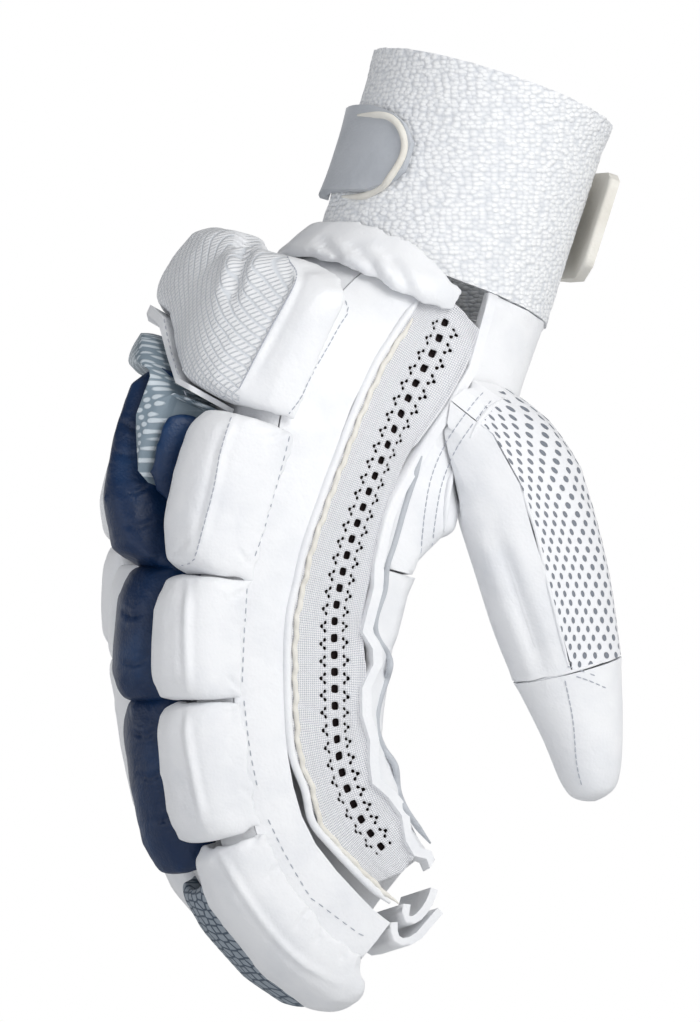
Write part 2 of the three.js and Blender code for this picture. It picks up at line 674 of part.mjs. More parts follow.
// Finger stalls: the index has its open side closed by the gusset and the side leather
function makeStalls() {
  const index = fingers.index;
  const stall = wallStrip(fingerRows, 9, 'palmStart', 'backRound', 0, leatherWall, index);
  addPiece('index_stall', stall, 'white');
  for (const name of ['middle', 'ring', 'little']) {
    const finger = fingers[name];
    const rows = steps(crotchRow + 0.04, finger.end, 7);
    const ring = (at, outward) => {
      const section = fingerSection(at, finger);
      const close = Math.max(0, at - finger.end + 1);
      section.depth *= 1 - 0.3 * close * close;
      return steps(-180, 180, 10).slice(0, -1)
        .map((angle) => outlinePoint(section, angle, outward, finger));
    };
    const end = fingerSection(finger.end, finger);
    const tip = (along) => {
      const point = placeInSection(end, 0, finger.across * handHalfWidth);
      return point.addScaledVector(end.down, along);
    };
    const solid = bagSolid(
      rows.map((at) => ring(at, 0)), tip(4),
      rows.slice(0, -1).map((at) => ring(at, -leatherWall)), tip(-2),
    );
    addPiece(`${name}_stall`, solid, 'white');
  }
}

// Pads of the fingers: an arch over the back of a stall or of the hand, with full ends
function fingerPad(row) {
  const finger = fingers[row.finger];
  const fingerMiddle = finger.across * handHalfWidth;
  const hidden = row.finger === 'ring' || row.finger === 'little';
  const count = row.from < crotchRow && !hidden ? 8 : 6;
  const arch = [];
  const base = [];
  for (const share of [0, 0.035, 0.2, 0.5, 0.8, 0.965, 1]) {
    const at = row.from + (row.to - row.from) * share;
    const section = fingerSection(at, finger);
    const nearEdge = (row.nearTop ?? -1) + (-1 - (row.nearTop ?? -1)) * share ** 4;
    const half = row.half ?? (1 - nearEdge) / 2;
    const middle = fingerMiddle + (row.shift ?? (1 + nearEdge) / 2 * blockHalfWidth);
    const stall = { ...section, bulge: fingerHalfWidth };
    const seamDeep = padSeat * section.depth;
    const fill = Math.max((1 - Math.abs(2 * share - 1) ** 7) ** (1 / 3), 0.12);
    const nose = (row.nose ?? 0) * Math.max(0, share - 0.5) * 2;
    const start = sideAngle(section, padSeat);
    const angles = steps(start, -360 - start, count);
    const seats = angles.map((angle) => {
      const seat = outlinePlace(stall, angle, padGap, finger);
      const y = middle + (seat.y - fingerMiddle) * half;
      const onBack = Math.min(-handDepth(section, y) - padGap * 1.7, seamDeep);
      if (half < 1 || at < crotchRow) return { y, deep: onBack };
      return { y, deep: at < crotchRow + 0.4 ? Math.min(onBack, seat.deep) : seat.deep };
    });
    base.push(seats.map((seat) => placeInSection(section, seat.deep, seat.y)));
    arch.push(seats.map((seat, k) => {
      const turn = Math.PI * k / count;
      const across = -Math.sign(Math.cos(turn)) * Math.abs(Math.cos(turn)) ** 0.55;
      const up = Math.sin(turn) ** 0.62;
      const high = section.depth * (1 + padSeat) + row.high * blockHeight * fill;
      const skin = k % count === 0 ? 0 : padSkin;
      const deep = Math.min(seamDeep - high * up, seat.deep - skin);
      const point = placeInSection(section, deep, middle + across * blockHalfWidth * half);
      return point.addScaledVector(section.down, nose * up);
    }));
  }
  return wallSolid(arch, base);
}

// A pad over the back of the hand, from a table of rows across it
function backPad(rows, height, rise) {
  const shares = [0, 0.04, 0.14, 0.4, 0.68, 0.9, 0.97, 1];
  const fill = (share) => Math.max((1 - Math.abs(2 * share - 1) ** 7) ** (1 / 3), 0.1);
  const grid = (raised) => rows.map((row) => shares.map((share) => {
    const section = seamedSection(row.from + (row.to - row.from) * share);
    const y = row.across * handHalfWidth;
    const surface = Math.max(handDepth(section, y), -padSeat * section.depth) + padGap * 1.4;
    const high = raised ? Math.max(row.high * height * fill(share), padSkin) : 0;
    const point = placeInSection(section, -surface - high, y);
    const lifted = raised ? (row.rise ?? 0) * rise * (1 - share) ** 1.5 : 0;
    return point.addScaledVector(section.down, -lifted);
  }));
  return wallSolid(grid(true), grid(false));
}

// The guard's flange: a strip that stands along the guard's lower edge
function makeFlange() {
  const rows = guardRows.slice(4, 11);
  const grid = (raised) => rows.map((row) => [flangeGap, flangeGap + flangeWidth].map((off) => {
    const section = seamedSection(row.to + off);
    const y = row.across * handHalfWidth;
    const surface = handDepth(section, y) + padGap;
    const high = raised ? flangeHeight * row.high : 0;
    const point = placeInSection(section, -surface - high, y);
    return point.addScaledVector(section.down, raised ? -flangeLean : 0);
  }));
  return wallSolid(grid(true), grid(false));
}

function makeTipFolds() {
  const end = seamedSection(lastRow);
  const near = fingers.index.across * handHalfWidth - fingerHalfWidth * 0.86;
  const far = fingers.index.across * handHalfWidth + fingerHalfWidth * 0.7;
  for (const [name, rows] of Object.entries(tipFolds)) {
    const path = steps(0, rows.length - 1, 8);
    const place = (at, y, offset) => {
      const deep = (k) => between(rows, 'deep', k) * fingerHalfDepth;
      const beyond = (k) => between(rows, 'beyond', k) * fingerHalfDepth;
      const run = new THREE.Vector2(deep(at + 0.1) - deep(at - 0.1),
        beyond(at + 0.1) - beyond(at - 0.1)).normalize();
      const point = placeInSection(end, deep(at) + run.y * offset, y);
      return point.addScaledVector(end.down, beyond(at) - run.x * offset);
    };
    const grid = (offset) => path.map((at) => [near, far]
      .map((y) => place(at, y, offset)));
    addPiece(name, wallSolid(grid(foldWall / 2), grid(-foldWall / 2)), 'grey');
  }
}

function makePads() {
  addPiece('guard_pad', backPad(guardRows, guardHeight, guardRise), 'white');
  addPiece('guard_flange', makeFlange(), 'white');
  addPiece('knuckle_panel', backPad(knuckleRows, blockHeight, 0), 'silver');
  makeTipFolds();
  for (const row of padRows) addPiece(row.name, fingerPad(row), row.finish);
}

function makeThumb() {
  const seat = wallStrip(handRows, 1, 'seatStart', 'seatEnd', weltRise + seatGap, leatherWall);
  const hand = toManifold(handBody(seatGap)).add(toManifold(seat));
  const strip = (from, to, rows, columns) => {
    const grid = (outward) => rows.map((at) => steps(from, to, columns)
      .map((angle) => thumbPoint(at, angle, outward)));
    return wallSolid(grid(0), grid(-thumbWall));
  };
  const gapTurn = 1.4;
  const bodyRows = steps(0, thumbCapRow, 6);
  const leather = strip(meshTo + gapTurn, meshFrom + 360 - gapTurn, bodyRows, 9);
  const cutLeather = largestBody(toManifold(leather).subtract(hand));
  addPiece('thumb_leather', toGeometry(cutLeather), 'white');
  const panel = largestBody(toManifold(strip(meshFrom, meshTo, bodyRows, meshColumns)).subtract(hand));
  addPiece('thumb_mesh', cutAll(toGeometry(panel), meshHoles()), 'grey');
  const capRows = steps(thumbCapRow + 0.03, thumbLast, 5);
  const cap = bagSolid(
    capRows.map((at) => thumbRing(at, 0)), thumbTip(0),
    capRows.slice(0, -1).map((at) => thumbRing(at, -thumbWall)), thumbTip(-thumbWall * 2.5),
  );
  addPiece('thumb_tip_cap', cap, 'white');
}

// Holes of the thumb's mesh, in staggered rows, each in the middle of a facet column
function meshHoles() {
  const pins = [];
  const columnTurn = (meshTo - meshFrom) / meshColumns;
  for (const [k, at] of steps(1.3, thumbCapRow - 0.3, meshHoleRows - 1).entries()) {
    for (let column = k % 2; column < meshColumns; column += 2) {
      const angle = meshFrom + (column + 0.5) * columnTurn;
      const inside = thumbPoint(at, angle, -thumbWall / 2);
      const direction = thumbPoint(at, angle, thumbWall).sub(inside).normalize();
      pins.push(holePin(inside, direction, meshHole, thumbWall * 3, 4));
    }
  }
  return pins;
}

makeCuff();
makeBadge();
makeStrap();
makeWristRoll();
makeHandWalls();
makeStalls();
makePads();
makeThumb();

export default glove;
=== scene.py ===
# %% [markdown]
# # A cricket batting glove
# The glove hangs with its wrist up and its fingers down, seen from the index and thumb side.
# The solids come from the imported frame. Everything here gives them their looks: soft pads,
# sewn leather, knitted cloth, stitches and the studio.

# %% The frame
import json
import math
import bpy
import numpy as np
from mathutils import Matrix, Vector, noise
from mathutils.bvhtree import BVHTree

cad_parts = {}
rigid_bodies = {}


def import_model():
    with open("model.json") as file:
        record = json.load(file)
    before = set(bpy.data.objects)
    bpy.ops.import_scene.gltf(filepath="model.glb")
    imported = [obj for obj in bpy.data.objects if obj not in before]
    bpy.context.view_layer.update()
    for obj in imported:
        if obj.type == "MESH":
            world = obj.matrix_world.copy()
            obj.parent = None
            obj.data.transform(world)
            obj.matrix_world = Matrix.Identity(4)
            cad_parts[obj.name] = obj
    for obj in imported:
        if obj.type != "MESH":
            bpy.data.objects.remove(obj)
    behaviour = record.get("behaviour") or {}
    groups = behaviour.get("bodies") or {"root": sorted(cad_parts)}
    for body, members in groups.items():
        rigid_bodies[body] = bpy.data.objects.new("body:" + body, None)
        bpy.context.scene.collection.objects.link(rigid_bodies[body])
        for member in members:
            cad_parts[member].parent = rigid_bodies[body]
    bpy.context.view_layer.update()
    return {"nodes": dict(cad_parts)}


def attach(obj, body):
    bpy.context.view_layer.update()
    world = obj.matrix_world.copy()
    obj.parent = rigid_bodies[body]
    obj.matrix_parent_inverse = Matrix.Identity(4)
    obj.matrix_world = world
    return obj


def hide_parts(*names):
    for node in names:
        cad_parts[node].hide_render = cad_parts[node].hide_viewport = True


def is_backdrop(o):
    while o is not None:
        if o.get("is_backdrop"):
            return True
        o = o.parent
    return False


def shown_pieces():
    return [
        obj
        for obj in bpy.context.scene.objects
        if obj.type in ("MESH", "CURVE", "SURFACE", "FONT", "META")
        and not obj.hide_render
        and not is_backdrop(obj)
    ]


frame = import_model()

MM = 0.001
scene = bpy.context.scene
nodes = frame["nodes"]
print("solids:", len(nodes))

# %% [markdown]
# ## Camera
# The photograph is taken from the index side, a little from behind, level with the glove. A
# long lens far away keeps the lines nearly parallel. The camera comes first, because seams
# are placed later by looking through it.

# %% Camera
PHOTO_WIDTH = 700
PHOTO_HEIGHT = 1022
VIEW_HEIGHT = 308.8 * MM          # what the photograph's height holds at the glove
CAMERA_DISTANCE = 3.0
AZIMUTH = math.radians(-22)
SENSOR = 36.0
aim = Vector((-40.6, 16.4, -127.2)) * MM
towards = Vector((math.sin(AZIMUTH), -math.cos(AZIMUTH), 0))
right = Vector((math.cos(AZIMUTH), math.sin(AZIMUTH), 0))

eye = aim + towards * CAMERA_DISTANCE
bpy.ops.object.camera_add(location=eye, rotation=(math.radians(90), 0, AZIMUTH))
camera = bpy.context.object
camera.data.sensor_fit = "VERTICAL"
camera.data.sensor_height = SENSOR
camera.data.sensor_width = SENSOR * PHOTO_WIDTH / PHOTO_HEIGHT
camera.data.lens = SENSOR * CAMERA_DISTANCE / VIEW_HEIGHT
scene.camera = camera
print("lens:", round(camera.data.lens), "mm")

# %% [markdown]
# ## Studio
# The real picture is a white one: soft light from all sides, strongest from the front right.
# Three large lamps stand on the front side. The air round the horizon is as bright as white
# studio walls, so the ground is white from every side, and no wall hides the glove. The pads
# get their soft grey shade on the side turned away from the key lamp.

# %% Helpers for selecting and making
def deselect():
    if bpy.context.object and bpy.context.object.mode != "OBJECT":
        bpy.ops.object.mode_set(mode="OBJECT")
    bpy.ops.object.select_all(action="DESELECT")


def activate(piece):
    deselect()
    piece.select_set(True)
    bpy.context.view_layer.objects.active = piece


def apply_modifier(piece, name, kind, **settings):
    """Adds a modifier with its settings and applies it."""
    activate(piece)
    modifier = piece.modifiers.new(name, kind)
    for key, value in settings.items():
        setattr(modifier, key, value)
    bpy.ops.object.modifier_apply(modifier=modifier.name)


def linear(code):
    """An sRGB hex colour as the linear colour that Blender works in."""
    parts = [int(code[k:k + 2], 16) / 255 for k in (1, 3, 5)]
    return tuple(c / 12.92 if c <= 0.04045 else ((c + 0.055) / 1.055) ** 2.4
                 for c in parts) + (1.0,)


def add_node(tree, kind, settings=None, **links):
    """One node, with its values or properties set and its sockets linked."""
    node = tree.nodes.new(kind)
    for key, value in (settings or {}).items():
        if key in node.inputs:
            node.inputs[key].default_value = value
        else:
            setattr(node, key, value)
    for key, source in links.items():
        socket = int(key[1:]) if key[0] == "n" and key[1:].isdigit() else key.replace("_", " ")
        tree.links.new(source, node.inputs[socket])
    return node


def new_material(name, colour, roughness, **values):
    material = bpy.data.materials.new(name)
    material.use_nodes = True
    shader = material.node_tree.nodes["Principled BSDF"]
    shader.inputs["Base Color"].default_value = linear(colour)
    shader.inputs["Roughness"].default_value = roughness
    for key, value in values.items():
        shader.inputs[key.replace("_", " ")].default_value = value
    return material, material.node_tree, shader


# %% Floor
FLOOR_DROP = 345 * MM
FLOOR_REACH = 0.9                 # small enough that it stays below the picture
studio_paint, _, _ = new_material("matt_white_paint", "#F4F5F6", 0.9)

deselect()
bpy.ops.mesh.primitive_plane_add(size=1, location=(0, 0, 0))
floor = bpy.context.object
floor.name = "studio_floor"
bpy.ops.object.mode_set(mode="EDIT")
bpy.ops.transform.resize(value=(2 * FLOOR_REACH, 2 * FLOOR_REACH, 1))
bpy.ops.transform.translate(value=(0, 0, -FLOOR_DROP))
bpy.ops.object.mode_set(mode="OBJECT")
floor.data.materials.append(studio_paint)
floor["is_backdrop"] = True


# %% Lamps
def soft_lamp(name, place, power, size, colour):
    bpy.ops.object.light_add(type="AREA", location=aim + place)
    lamp = bpy.context.object
    lamp.name = name
    lamp.data.energy = power
    lamp.data.size = size
    lamp.data.color = linear(colour)[:3]
    lamp.rotation_euler = (-place).to_track_quat("-Z", "Y").to_euler()
    return lamp


up = Vector((0, 0, 1))
soft_lamp("key_lamp", towards * 1.0 + right * 0.75 + up * 0.75, 12.5, 0.9, "#FFFFFF")
soft_lamp("fill_lamp", towards * 1.1 - right * 1.0 + up * 0.1, 3, 1.2, "#EEF3FF")
soft_lamp("top_lamp", towards * 0.1 + up * 1.3, 2, 1.0, "#FFFFFF")

WALL_GLOW, FLOOR_GLOW, CEILING_GLOW = 1.0, 0.45, 0.15
GLOW_EDGE, GLOW_END = 0.12, 0.25  # sines of the heights where the wall's glow starts to fade
world = bpy.data.worlds.new("studio_air")
world.use_nodes = True
air = world.node_tree
background = air.nodes["Background"]
background.inputs["Color"].default_value = linear("#FFFFFF")
direction = add_node(air, "ShaderNodeSeparateXYZ",
                     Vector=add_node(air, "ShaderNodeTexCoord").outputs["Generated"])
below = add_node(air, "ShaderNodeMapRange",
                 {"From Min": -GLOW_END, "From Max": -GLOW_EDGE, "To Min": FLOOR_GLOW,
                  "To Max": WALL_GLOW}, Value=direction.outputs["Z"])
above = add_node(air, "ShaderNodeMapRange",
                 {"From Min": GLOW_EDGE, "From Max": GLOW_END, "To Min": 1.0,
                  "To Max": CEILING_GLOW}, Value=direction.outputs["Z"])
glow = add_node(air, "ShaderNodeMath", {"operation": "MULTIPLY"},
                n0=below.outputs["Result"], n1=above.outputs["Result"])
air.links.new(glow.outputs[0], background.inputs["Strength"])
scene.world = world
scene.view_settings.view_transform = "Standard"

# %% [markdown]
# ## Leather and cloth
# Batting gloves are sewn from thin full-grain leather, tanned white, with a polyurethane finish
# that leaves a fine pebbled grain. A Voronoi pattern at the size of the pebbles, broken up by
# noise, makes that grain as bump. Thin leather also holds slow wrinkles, which a second and
# larger noise adds.

# %% Leather
PEBBLE = 0.9 * MM                 # one grain cell of glove leather


def leather(name, colour, shade, roughness=0.5, grain=0.45, wrinkle=0.5, coat=0.05):
    """Finished leather: pebbled grain, slow wrinkles and a little colour drift."""
    material, tree, shader = new_material(
        name, colour, roughness, Coat_Weight=coat, Coat_Roughness=0.4, IOR=1.45)
    place = add_node(tree, "ShaderNodeTexCoord").outputs["Object"]
    drift = add_node(tree, "ShaderNodeTexNoise", {"Scale": 60.0, "Detail": 4.0}, Vector=place)
    pebbles = add_node(tree, "ShaderNodeTexVoronoi", {"Scale": 1 / PEBBLE}, Vector=place)
    fine = add_node(tree, "ShaderNodeTexNoise", {"Scale": 900.0, "Detail": 3.0}, Vector=place)
    slow = add_node(tree, "ShaderNodeTexNoise",
                    {"Scale": 130.0, "Detail": 5.0, "Distortion": 0.6}, Vector=place)
    spread = add_node(tree, "ShaderNodeMapRange",
                      {"From Min": 0.45, "From Max": 0.8}, Value=drift.outputs["Fac"])
    tone = add_node(tree, "ShaderNodeMix", {"data_type": "RGBA"}, n0=spread.outputs["Result"])
    tone.inputs[6].default_value = linear(colour)
    tone.inputs[7].default_value = linear(shade)
    tree.links.new(tone.outputs[2], shader.inputs["Base Color"])
    mixed = add_node(tree, "ShaderNodeMath", {"operation": "MULTIPLY_ADD"},
                     n0=fine.outputs["Fac"])
    mixed.inputs[1].default_value = 0.6
    tree.links.new(pebbles.outputs["Distance"], mixed.inputs[2])
    small = add_node(tree, "ShaderNodeBump", {"Strength": grain, "Distance": 0.12 * MM},
                     Height=mixed.outputs[0])
    large = add_node(tree, "ShaderNodeBump", {"Strength": wrinkle, "Distance": 0.8 * MM},
                     Height=slow.outputs["Fac"], Normal=small.outputs["Normal"])
    tree.links.new(large.outputs["Normal"], shader.inputs["Normal"])
    return material


white_leather = leather("white_cowhide", "#F6F7F9", "#E9EBEF")
grey_leather = leather("grey_cowhide", "#C3C7CD", "#B2B7BE", grain=0.5)
navy_leather = leather("navy_cowhide", "#04264C", "#0A3763", roughness=0.45, grain=0.6,
                       wrinkle=0.8, coat=0.05)
cream_cloth = leather("cream_binding", "#EFECE4", "#DDD8CC", roughness=0.8, grain=0.6)
thread, _, _ = new_material("polyester_thread", "#B9BDC6", 0.6)
print("leathers and threads:", len(bpy.data.materials))

# %% [markdown]
# ## Knitted, woven and printed finishes
# Knit loops, woven tiles, punched dots and net all repeat one small cell. A Voronoi pattern
# scaled to the real cell draws it. Where the distance from the cell's middle is small the
# colour is the cell's, and beyond that it is the ground's, and the same value gives the relief.


# %% Celled finishes
def celled(name, ground, cell, size, roughness=0.7, source="Object", axes=None, turn=0.0,
           scatter=0.0, feature="F1", start=0.2, end=0.4, depth=0.3 * MM, raised=False):
    """A cloth or skin that repeats one cell of the given size."""
    material, tree, shader = new_material(name, ground, roughness)
    place = add_node(tree, "ShaderNodeTexCoord").outputs[source]
    if axes:
        parts = add_node(tree, "ShaderNodeSeparateXYZ", Vector=place)
        place = add_node(tree, "ShaderNodeCombineXYZ", X=parts.outputs[axes[0]],
                         Y=parts.outputs[axes[1]]).outputs["Vector"]
    turned = add_node(tree, "ShaderNodeMapping", {"Rotation": (0, 0, turn)}, Vector=place)
    scaled = add_node(tree, "ShaderNodeMapping",
                      {"Scale": (1 / size[0], 1 / size[1], 1 / size[-1])},
                      Vector=turned.outputs["Vector"])
    flat = "2D" if axes or source == "UV" else "3D"
    cells = add_node(tree, "ShaderNodeTexVoronoi",
                     {"voronoi_dimensions": flat, "feature": feature, "Scale": 1.0,
                      "Randomness": scatter}, Vector=scaled.outputs["Vector"])
    band = add_node(tree, "ShaderNodeMapRange", {"From Min": start, "From Max": end},
                    Value=cells.outputs["Distance"])
    tone = add_node(tree, "ShaderNodeMix", {"data_type": "RGBA"}, n0=band.outputs["Result"])
    tone.inputs[6].default_value = linear(cell)
    tone.inputs[7].default_value = linear(ground)
    tree.links.new(tone.outputs[2], shader.inputs["Base Color"])
    relief = add_node(tree, "ShaderNodeBump", {"Strength": 0.8, "Distance": depth,
                                               "invert": raised},
                      Height=band.outputs["Result"])
    tree.links.new(relief.outputs["Normal"], shader.inputs["Normal"])
    return material


# Silver synthetic with pale scales printed on it.
silver_scales = celled("silver_scale_synthetic", "#7F8F9B", "#C9D3DA", (2.0 * MM, 2.4 * MM),
                       0.42, axes=("Y", "Z"), turn=0.5, scatter=0.4, start=0.26, end=0.38,
                       depth=0.2 * MM, raised=True)
# Grey net over foam: dark cords round paler cells.
hexagon_net = celled("hexagon_net_fabric", "#9AA4AE", "#4E5C6B", (3.0 * MM, 2.4 * MM), 0.6,
                     axes=("Y", "Z"), scatter=0.45, feature="DISTANCE_TO_EDGE", start=0.07,
                     end=0.16, raised=True)
# White leather pressed with a basket weave: small tiles with narrow grooves.
# The narrow grooves are painted greyer than the tiles, as painted shade.
basket_leather = celled("basket_embossed_leather", "#F5F6F8", "#DFE3E8", (1.9 * MM, 1.5 * MM),
                        0.5, axes=("Y", "Z"), turn=0.785, feature="DISTANCE_TO_EDGE",
                        start=0.04, end=0.2, depth=0.35 * MM)
# White cotton seed stitch: round loops with grey shade between them.
cuff_knit = celled("cotton_seed_stitch", "#DDE0E5", "#FAFBFC", (2.0 * MM, 2.0 * MM, 1.3 * MM),
                   0.9, scatter=0.6, start=0.3, end=0.85, depth=0.5 * MM, raised=True)
# White warp knit, drawn a little coarser than the real one so that the loops show.
# The grey between the loops is painted shade.
vent_knit = celled("polyester_warp_knit", "#D3D7E0", "#FBFBFD", (0.5, 0.5), 0.85,
                   source="UV", start=0.3, end=0.62, depth=0.3 * MM, raised=True)
# White synthetic punched with round holes, drawn as grey dots: the lining under
# them, with the shade inside the holes painted in.
THUMB_PITCH = 3.7 * MM
thumb_net = celled("punched_white_synthetic", "#F3F4F7", "#7F858F", (THUMB_PITCH, THUMB_PITCH),
                   0.55, source="UV", turn=math.radians(45), start=0.22, end=0.28,
                   depth=0.6 * MM)
# A near-black cloth that paints the shade inside the glove, seen through the knit's holes.
painted_shade_cloth, _, _ = new_material("painted_inner_shade", "#33282A", 0.95)
print("finishes:", len(bpy.data.materials))

# %% [markdown]
# ## Copies of the solids
# A sewn wall keeps its place and its edges, so it starts as a merged copy of its solid. The
# triangles are paired to squares again, the sharp rims are creased, and a subdivision surface
# smooths what lies between.


# %% Walls from the solids
def copy_of(node, name):
    """A merged copy of a solid, as a piece of its own."""
    source = nodes[node]
    piece = bpy.data.objects.new(name, source.data.copy())
    scene.collection.objects.link(piece)
    piece.data.materials.clear()
    activate(piece)
    bpy.ops.object.mode_set(mode="EDIT")
    bpy.ops.mesh.select_all(action="SELECT")
    bpy.ops.mesh.remove_doubles(threshold=0.01 * MM)
    bpy.ops.mesh.tris_convert_to_quads(face_threshold=math.radians(50),
                                       shape_threshold=math.radians(60))
    bpy.ops.object.mode_set(mode="OBJECT")
    return piece


def dress(piece, material, slot, *replaced):
    """Gives a piece its finish and its place in the frame."""
    if not piece.data.materials:
        piece.data.materials.append(material)
    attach(piece, "root")
    if replaced:
        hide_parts(*replaced)
    return piece


def smooth_wall(piece, levels=2, sharp=55):
    """Creases the sharp rims and smooths the rest."""
    activate(piece)
    bpy.ops.object.mode_set(mode="EDIT")
    bpy.ops.mesh.select_all(action="DESELECT")
    bpy.ops.mesh.edges_select_sharp(sharpness=math.radians(sharp))
    bpy.ops.transform.edge_crease(value=1.0)
    bpy.ops.mesh.select_all(action="DESELECT")
    bpy.ops.object.mode_set(mode="OBJECT")
    apply_modifier(piece, "smooth", "SUBSURF", levels=levels, render_levels=levels)
    activate(piece)
    bpy.ops.object.shade_smooth_by_angle(angle=math.radians(40))
    return piece


for node in ("side_leather", "palm_leather", "back_leather", "index_stall",
             "thumb_leather", "thumb_tip_cap", "middle_stall", "ring_stall", "little_stall"):
    wall = smooth_wall(copy_of(node, node + "_sewn"))
    dress(wall, white_leather, "white_leather", node)
for node, material, slot in (("palm_welt", white_leather, "white_leather"),
                             ("tip_fold_inner", white_leather, "grey_leather"),
                             ("tip_fold_outer", white_leather, "grey_leather"),
                             ("guard_flange", white_leather, "white_leather"),
                             ("badge_tab", grey_leather, "badge_rubber"),
                             ("strap_tab", cream_cloth, "cream_fabric"),
                             ("knuckle_panel", silver_scales, "silver_panel"),
                             ("cuff", cuff_knit, "cuff_knit")):
    wall = smooth_wall(copy_of(node, node + "_sewn"))
    dress(wall, material, slot, node)

# %% [markdown]
# ## Looking through the camera
# Seams, edges and holes are easiest to place where the photograph shows them. A line of sight
# through a photo pixel is followed until it meets the solids, so a seam that is placed by
# pixels still lies on the leather when the glove is seen from another side.


# %% Lines of sight
def coordinates(piece):
    flat = np.empty(len(piece.data.vertices) * 3)
    piece.data.vertices.foreach_get("co", flat)
    return flat.reshape(-1, 3)


def set_coordinates(piece, places):
    piece.data.vertices.foreach_set("co", np.asarray(places, float).ravel())
    piece.data.update()


def tree_of(pieces):
    """One search tree over several pieces."""
    corners, faces = [], []
    for piece in pieces:
        start = len(corners)
        corners.extend(v.co.copy() for v in piece.data.vertices)
        faces.extend([start + k for k in p.vertices] for p in piece.data.polygons)
    return BVHTree.FromPolygons(corners, faces)


PIXEL = VIEW_HEIGHT / PHOTO_HEIGHT
HOLE_STEP = 2.2 * MM              # how far beside a hole its wall is looked for


def landed(tree, start, way, reach):
    """Where a line meets the tree, its normal, and across a hole the mean of what is round it."""
    place, normal, _, distance = tree.ray_cast(start, way)
    if place is not None and distance < reach:
        return place, normal
    side = way.cross(Vector((0.13, 0.31, 0.94))).normalized()
    other = way.cross(side)
    found = [tree.ray_cast(start + step * HOLE_STEP, way)
             for step in (side, -side, other, -other)]
    found = [f for f in found if f[0] is not None and f[3] < reach]
    if not found:
        return None, None
    middle = sum(f[3] for f in found) / len(found)
    normal = sum((f[1] for f in found), Vector()).normalized()
    return start + way * middle, normal


def sight(tree, u, v, reach=CAMERA_DISTANCE + 45 * MM):
    """The place on the tree that the photograph shows at a pixel."""
    across = (u - PHOTO_WIDTH / 2) * PIXEL
    rise = (PHOTO_HEIGHT / 2 - v) * PIXEL
    way = (aim + right * across + up * rise - eye).normalized()
    return landed(tree, eye, way, reach)


def pixel_of(place):
    """Where the photograph shows a place."""
    ray = place - eye
    scale = CAMERA_DISTANCE / (-ray.dot(towards)) / PIXEL
    return PHOTO_WIDTH / 2 + ray.dot(right) * scale, PHOTO_HEIGHT / 2 - ray.z * scale


def smooth_path(corners, step):
    """A smooth line through a list of places, as points a step apart."""
    corners = [Vector(c) for c in corners]
    fine = []
    for k in range(len(corners) - 1):
        before = corners[max(k - 1, 0)]
        start, end = corners[k], corners[k + 1]
        after = corners[min(k + 2, len(corners) - 1)]
        for part in range(24):
            f = part / 24
            fine.append(0.5 * (2 * start + (end - before) * f
                               + (2 * before - 5 * start + 4 * end - after) * f ** 2
                               + (3 * start - before - 3 * end + after) * f ** 3))
    fine.append(corners[-1])
    lengths = np.cumsum([0] + [(b - a).length for a, b in zip(fine, fine[1:])])
    count = max(2, round(lengths[-1] / step) + 1)
    points = []
    for want in np.linspace(0, lengths[-1], count):
        k = min(int(np.searchsorted(lengths, want, "right")), len(fine) - 1)
        span = lengths[k] - lengths[k - 1]
        share = (want - lengths[k - 1]) / span if span > 0 else 0
        points.append(fine[k - 1].lerp(fine[k], share))
    return points


def seam_on(tree, pixels, step=1.0 * MM, lift=0.0):
    """A seam through photo pixels, laid on the tree: its places and normals."""
    found = []
    for pixel in smooth_path([(u, v) for u, v in pixels], step / PIXEL):
        place, normal = sight(tree, pixel[0], pixel[1])
        if place is not None:
            found.append((place + normal * lift, normal))
    return found


SEAM_JUMP = 3.5 * MM              # a place this far off its neighbours fell through a gap


def evened(found, rounds=2):
    """Drops what fell through a gap, and takes the small jumps out of a seam."""
    deep = np.array([-(place - eye).dot(towards) for place, _ in found])
    middle = [np.median(deep[max(0, k - 6):k + 7]) for k in range(len(deep))]
    found = [f for f, d, m in zip(found, deep, middle) if abs(d - m) < SEAM_JUMP]
    places = [place.copy() for place, _ in found]
    for _ in range(rounds):
        places = [places[0]] + [(a + b * 2 + c) / 4 for a, b, c in
                                zip(places, places[1:], places[2:])] + [places[-1]]
    return [(place, normal) for place, (_, normal) in zip(places, found)]


# %% [markdown]
# ## Stitches, binding and edges
# A machine stitch shows as a short rounded bar with a gap after it. One is modelled and copied
# along each seam. A folded edge or a piped seam is a soft tube of leather along the same kind
# of line.


# %% Stitch rows
deselect()
bpy.ops.mesh.primitive_uv_sphere_add(segments=6, ring_count=4, radius=1.0)
pattern = bpy.context.object
pattern_corners = coordinates(pattern)
pattern_faces = [list(p.vertices) for p in pattern.data.polygons]
bpy.data.objects.remove(pattern)


def stitch_row(name, found, pitch=2.6 * MM, length=1.9 * MM, thick=0.42 * MM, lift=0.1 * MM):
    """Copies one stitch along a seam, in a single mesh."""
    step = (found[1][0] - found[0][0]).length
    every = max(1, round(pitch / step))
    corners, faces = [], []
    for k in range(every // 2, len(found) - every, every):
        place, normal = found[k]
        along = (found[k + every][0] - place).normalized()
        aside = along.cross(normal).normalized()
        start = len(corners)
        for x, y, z in pattern_corners:
            corners.append(place + along * (z * length / 2) + aside * (x * thick / 2)
                           + normal * (y * thick / 2 + lift))
        faces.extend([start + c for c in face] for face in pattern_faces)
    mesh = bpy.data.meshes.new(name)
    mesh.from_pydata(corners, [], faces)
    row = bpy.data.objects.new(name, mesh)
    scene.collection.objects.link(row)
    activate(row)
    bpy.ops.object.shade_smooth()
    dress(row, thread, "white_leather")
    print(name, "stitches:", len(corners) // len(pattern_corners))
    return row


TUBE_SIDES = 3                    # Blender's bevel steps: a tube of ten sides
END_WIDTH, END_GROWTH = 0.3, 0.12  # a tube's width at its end, and what each point adds


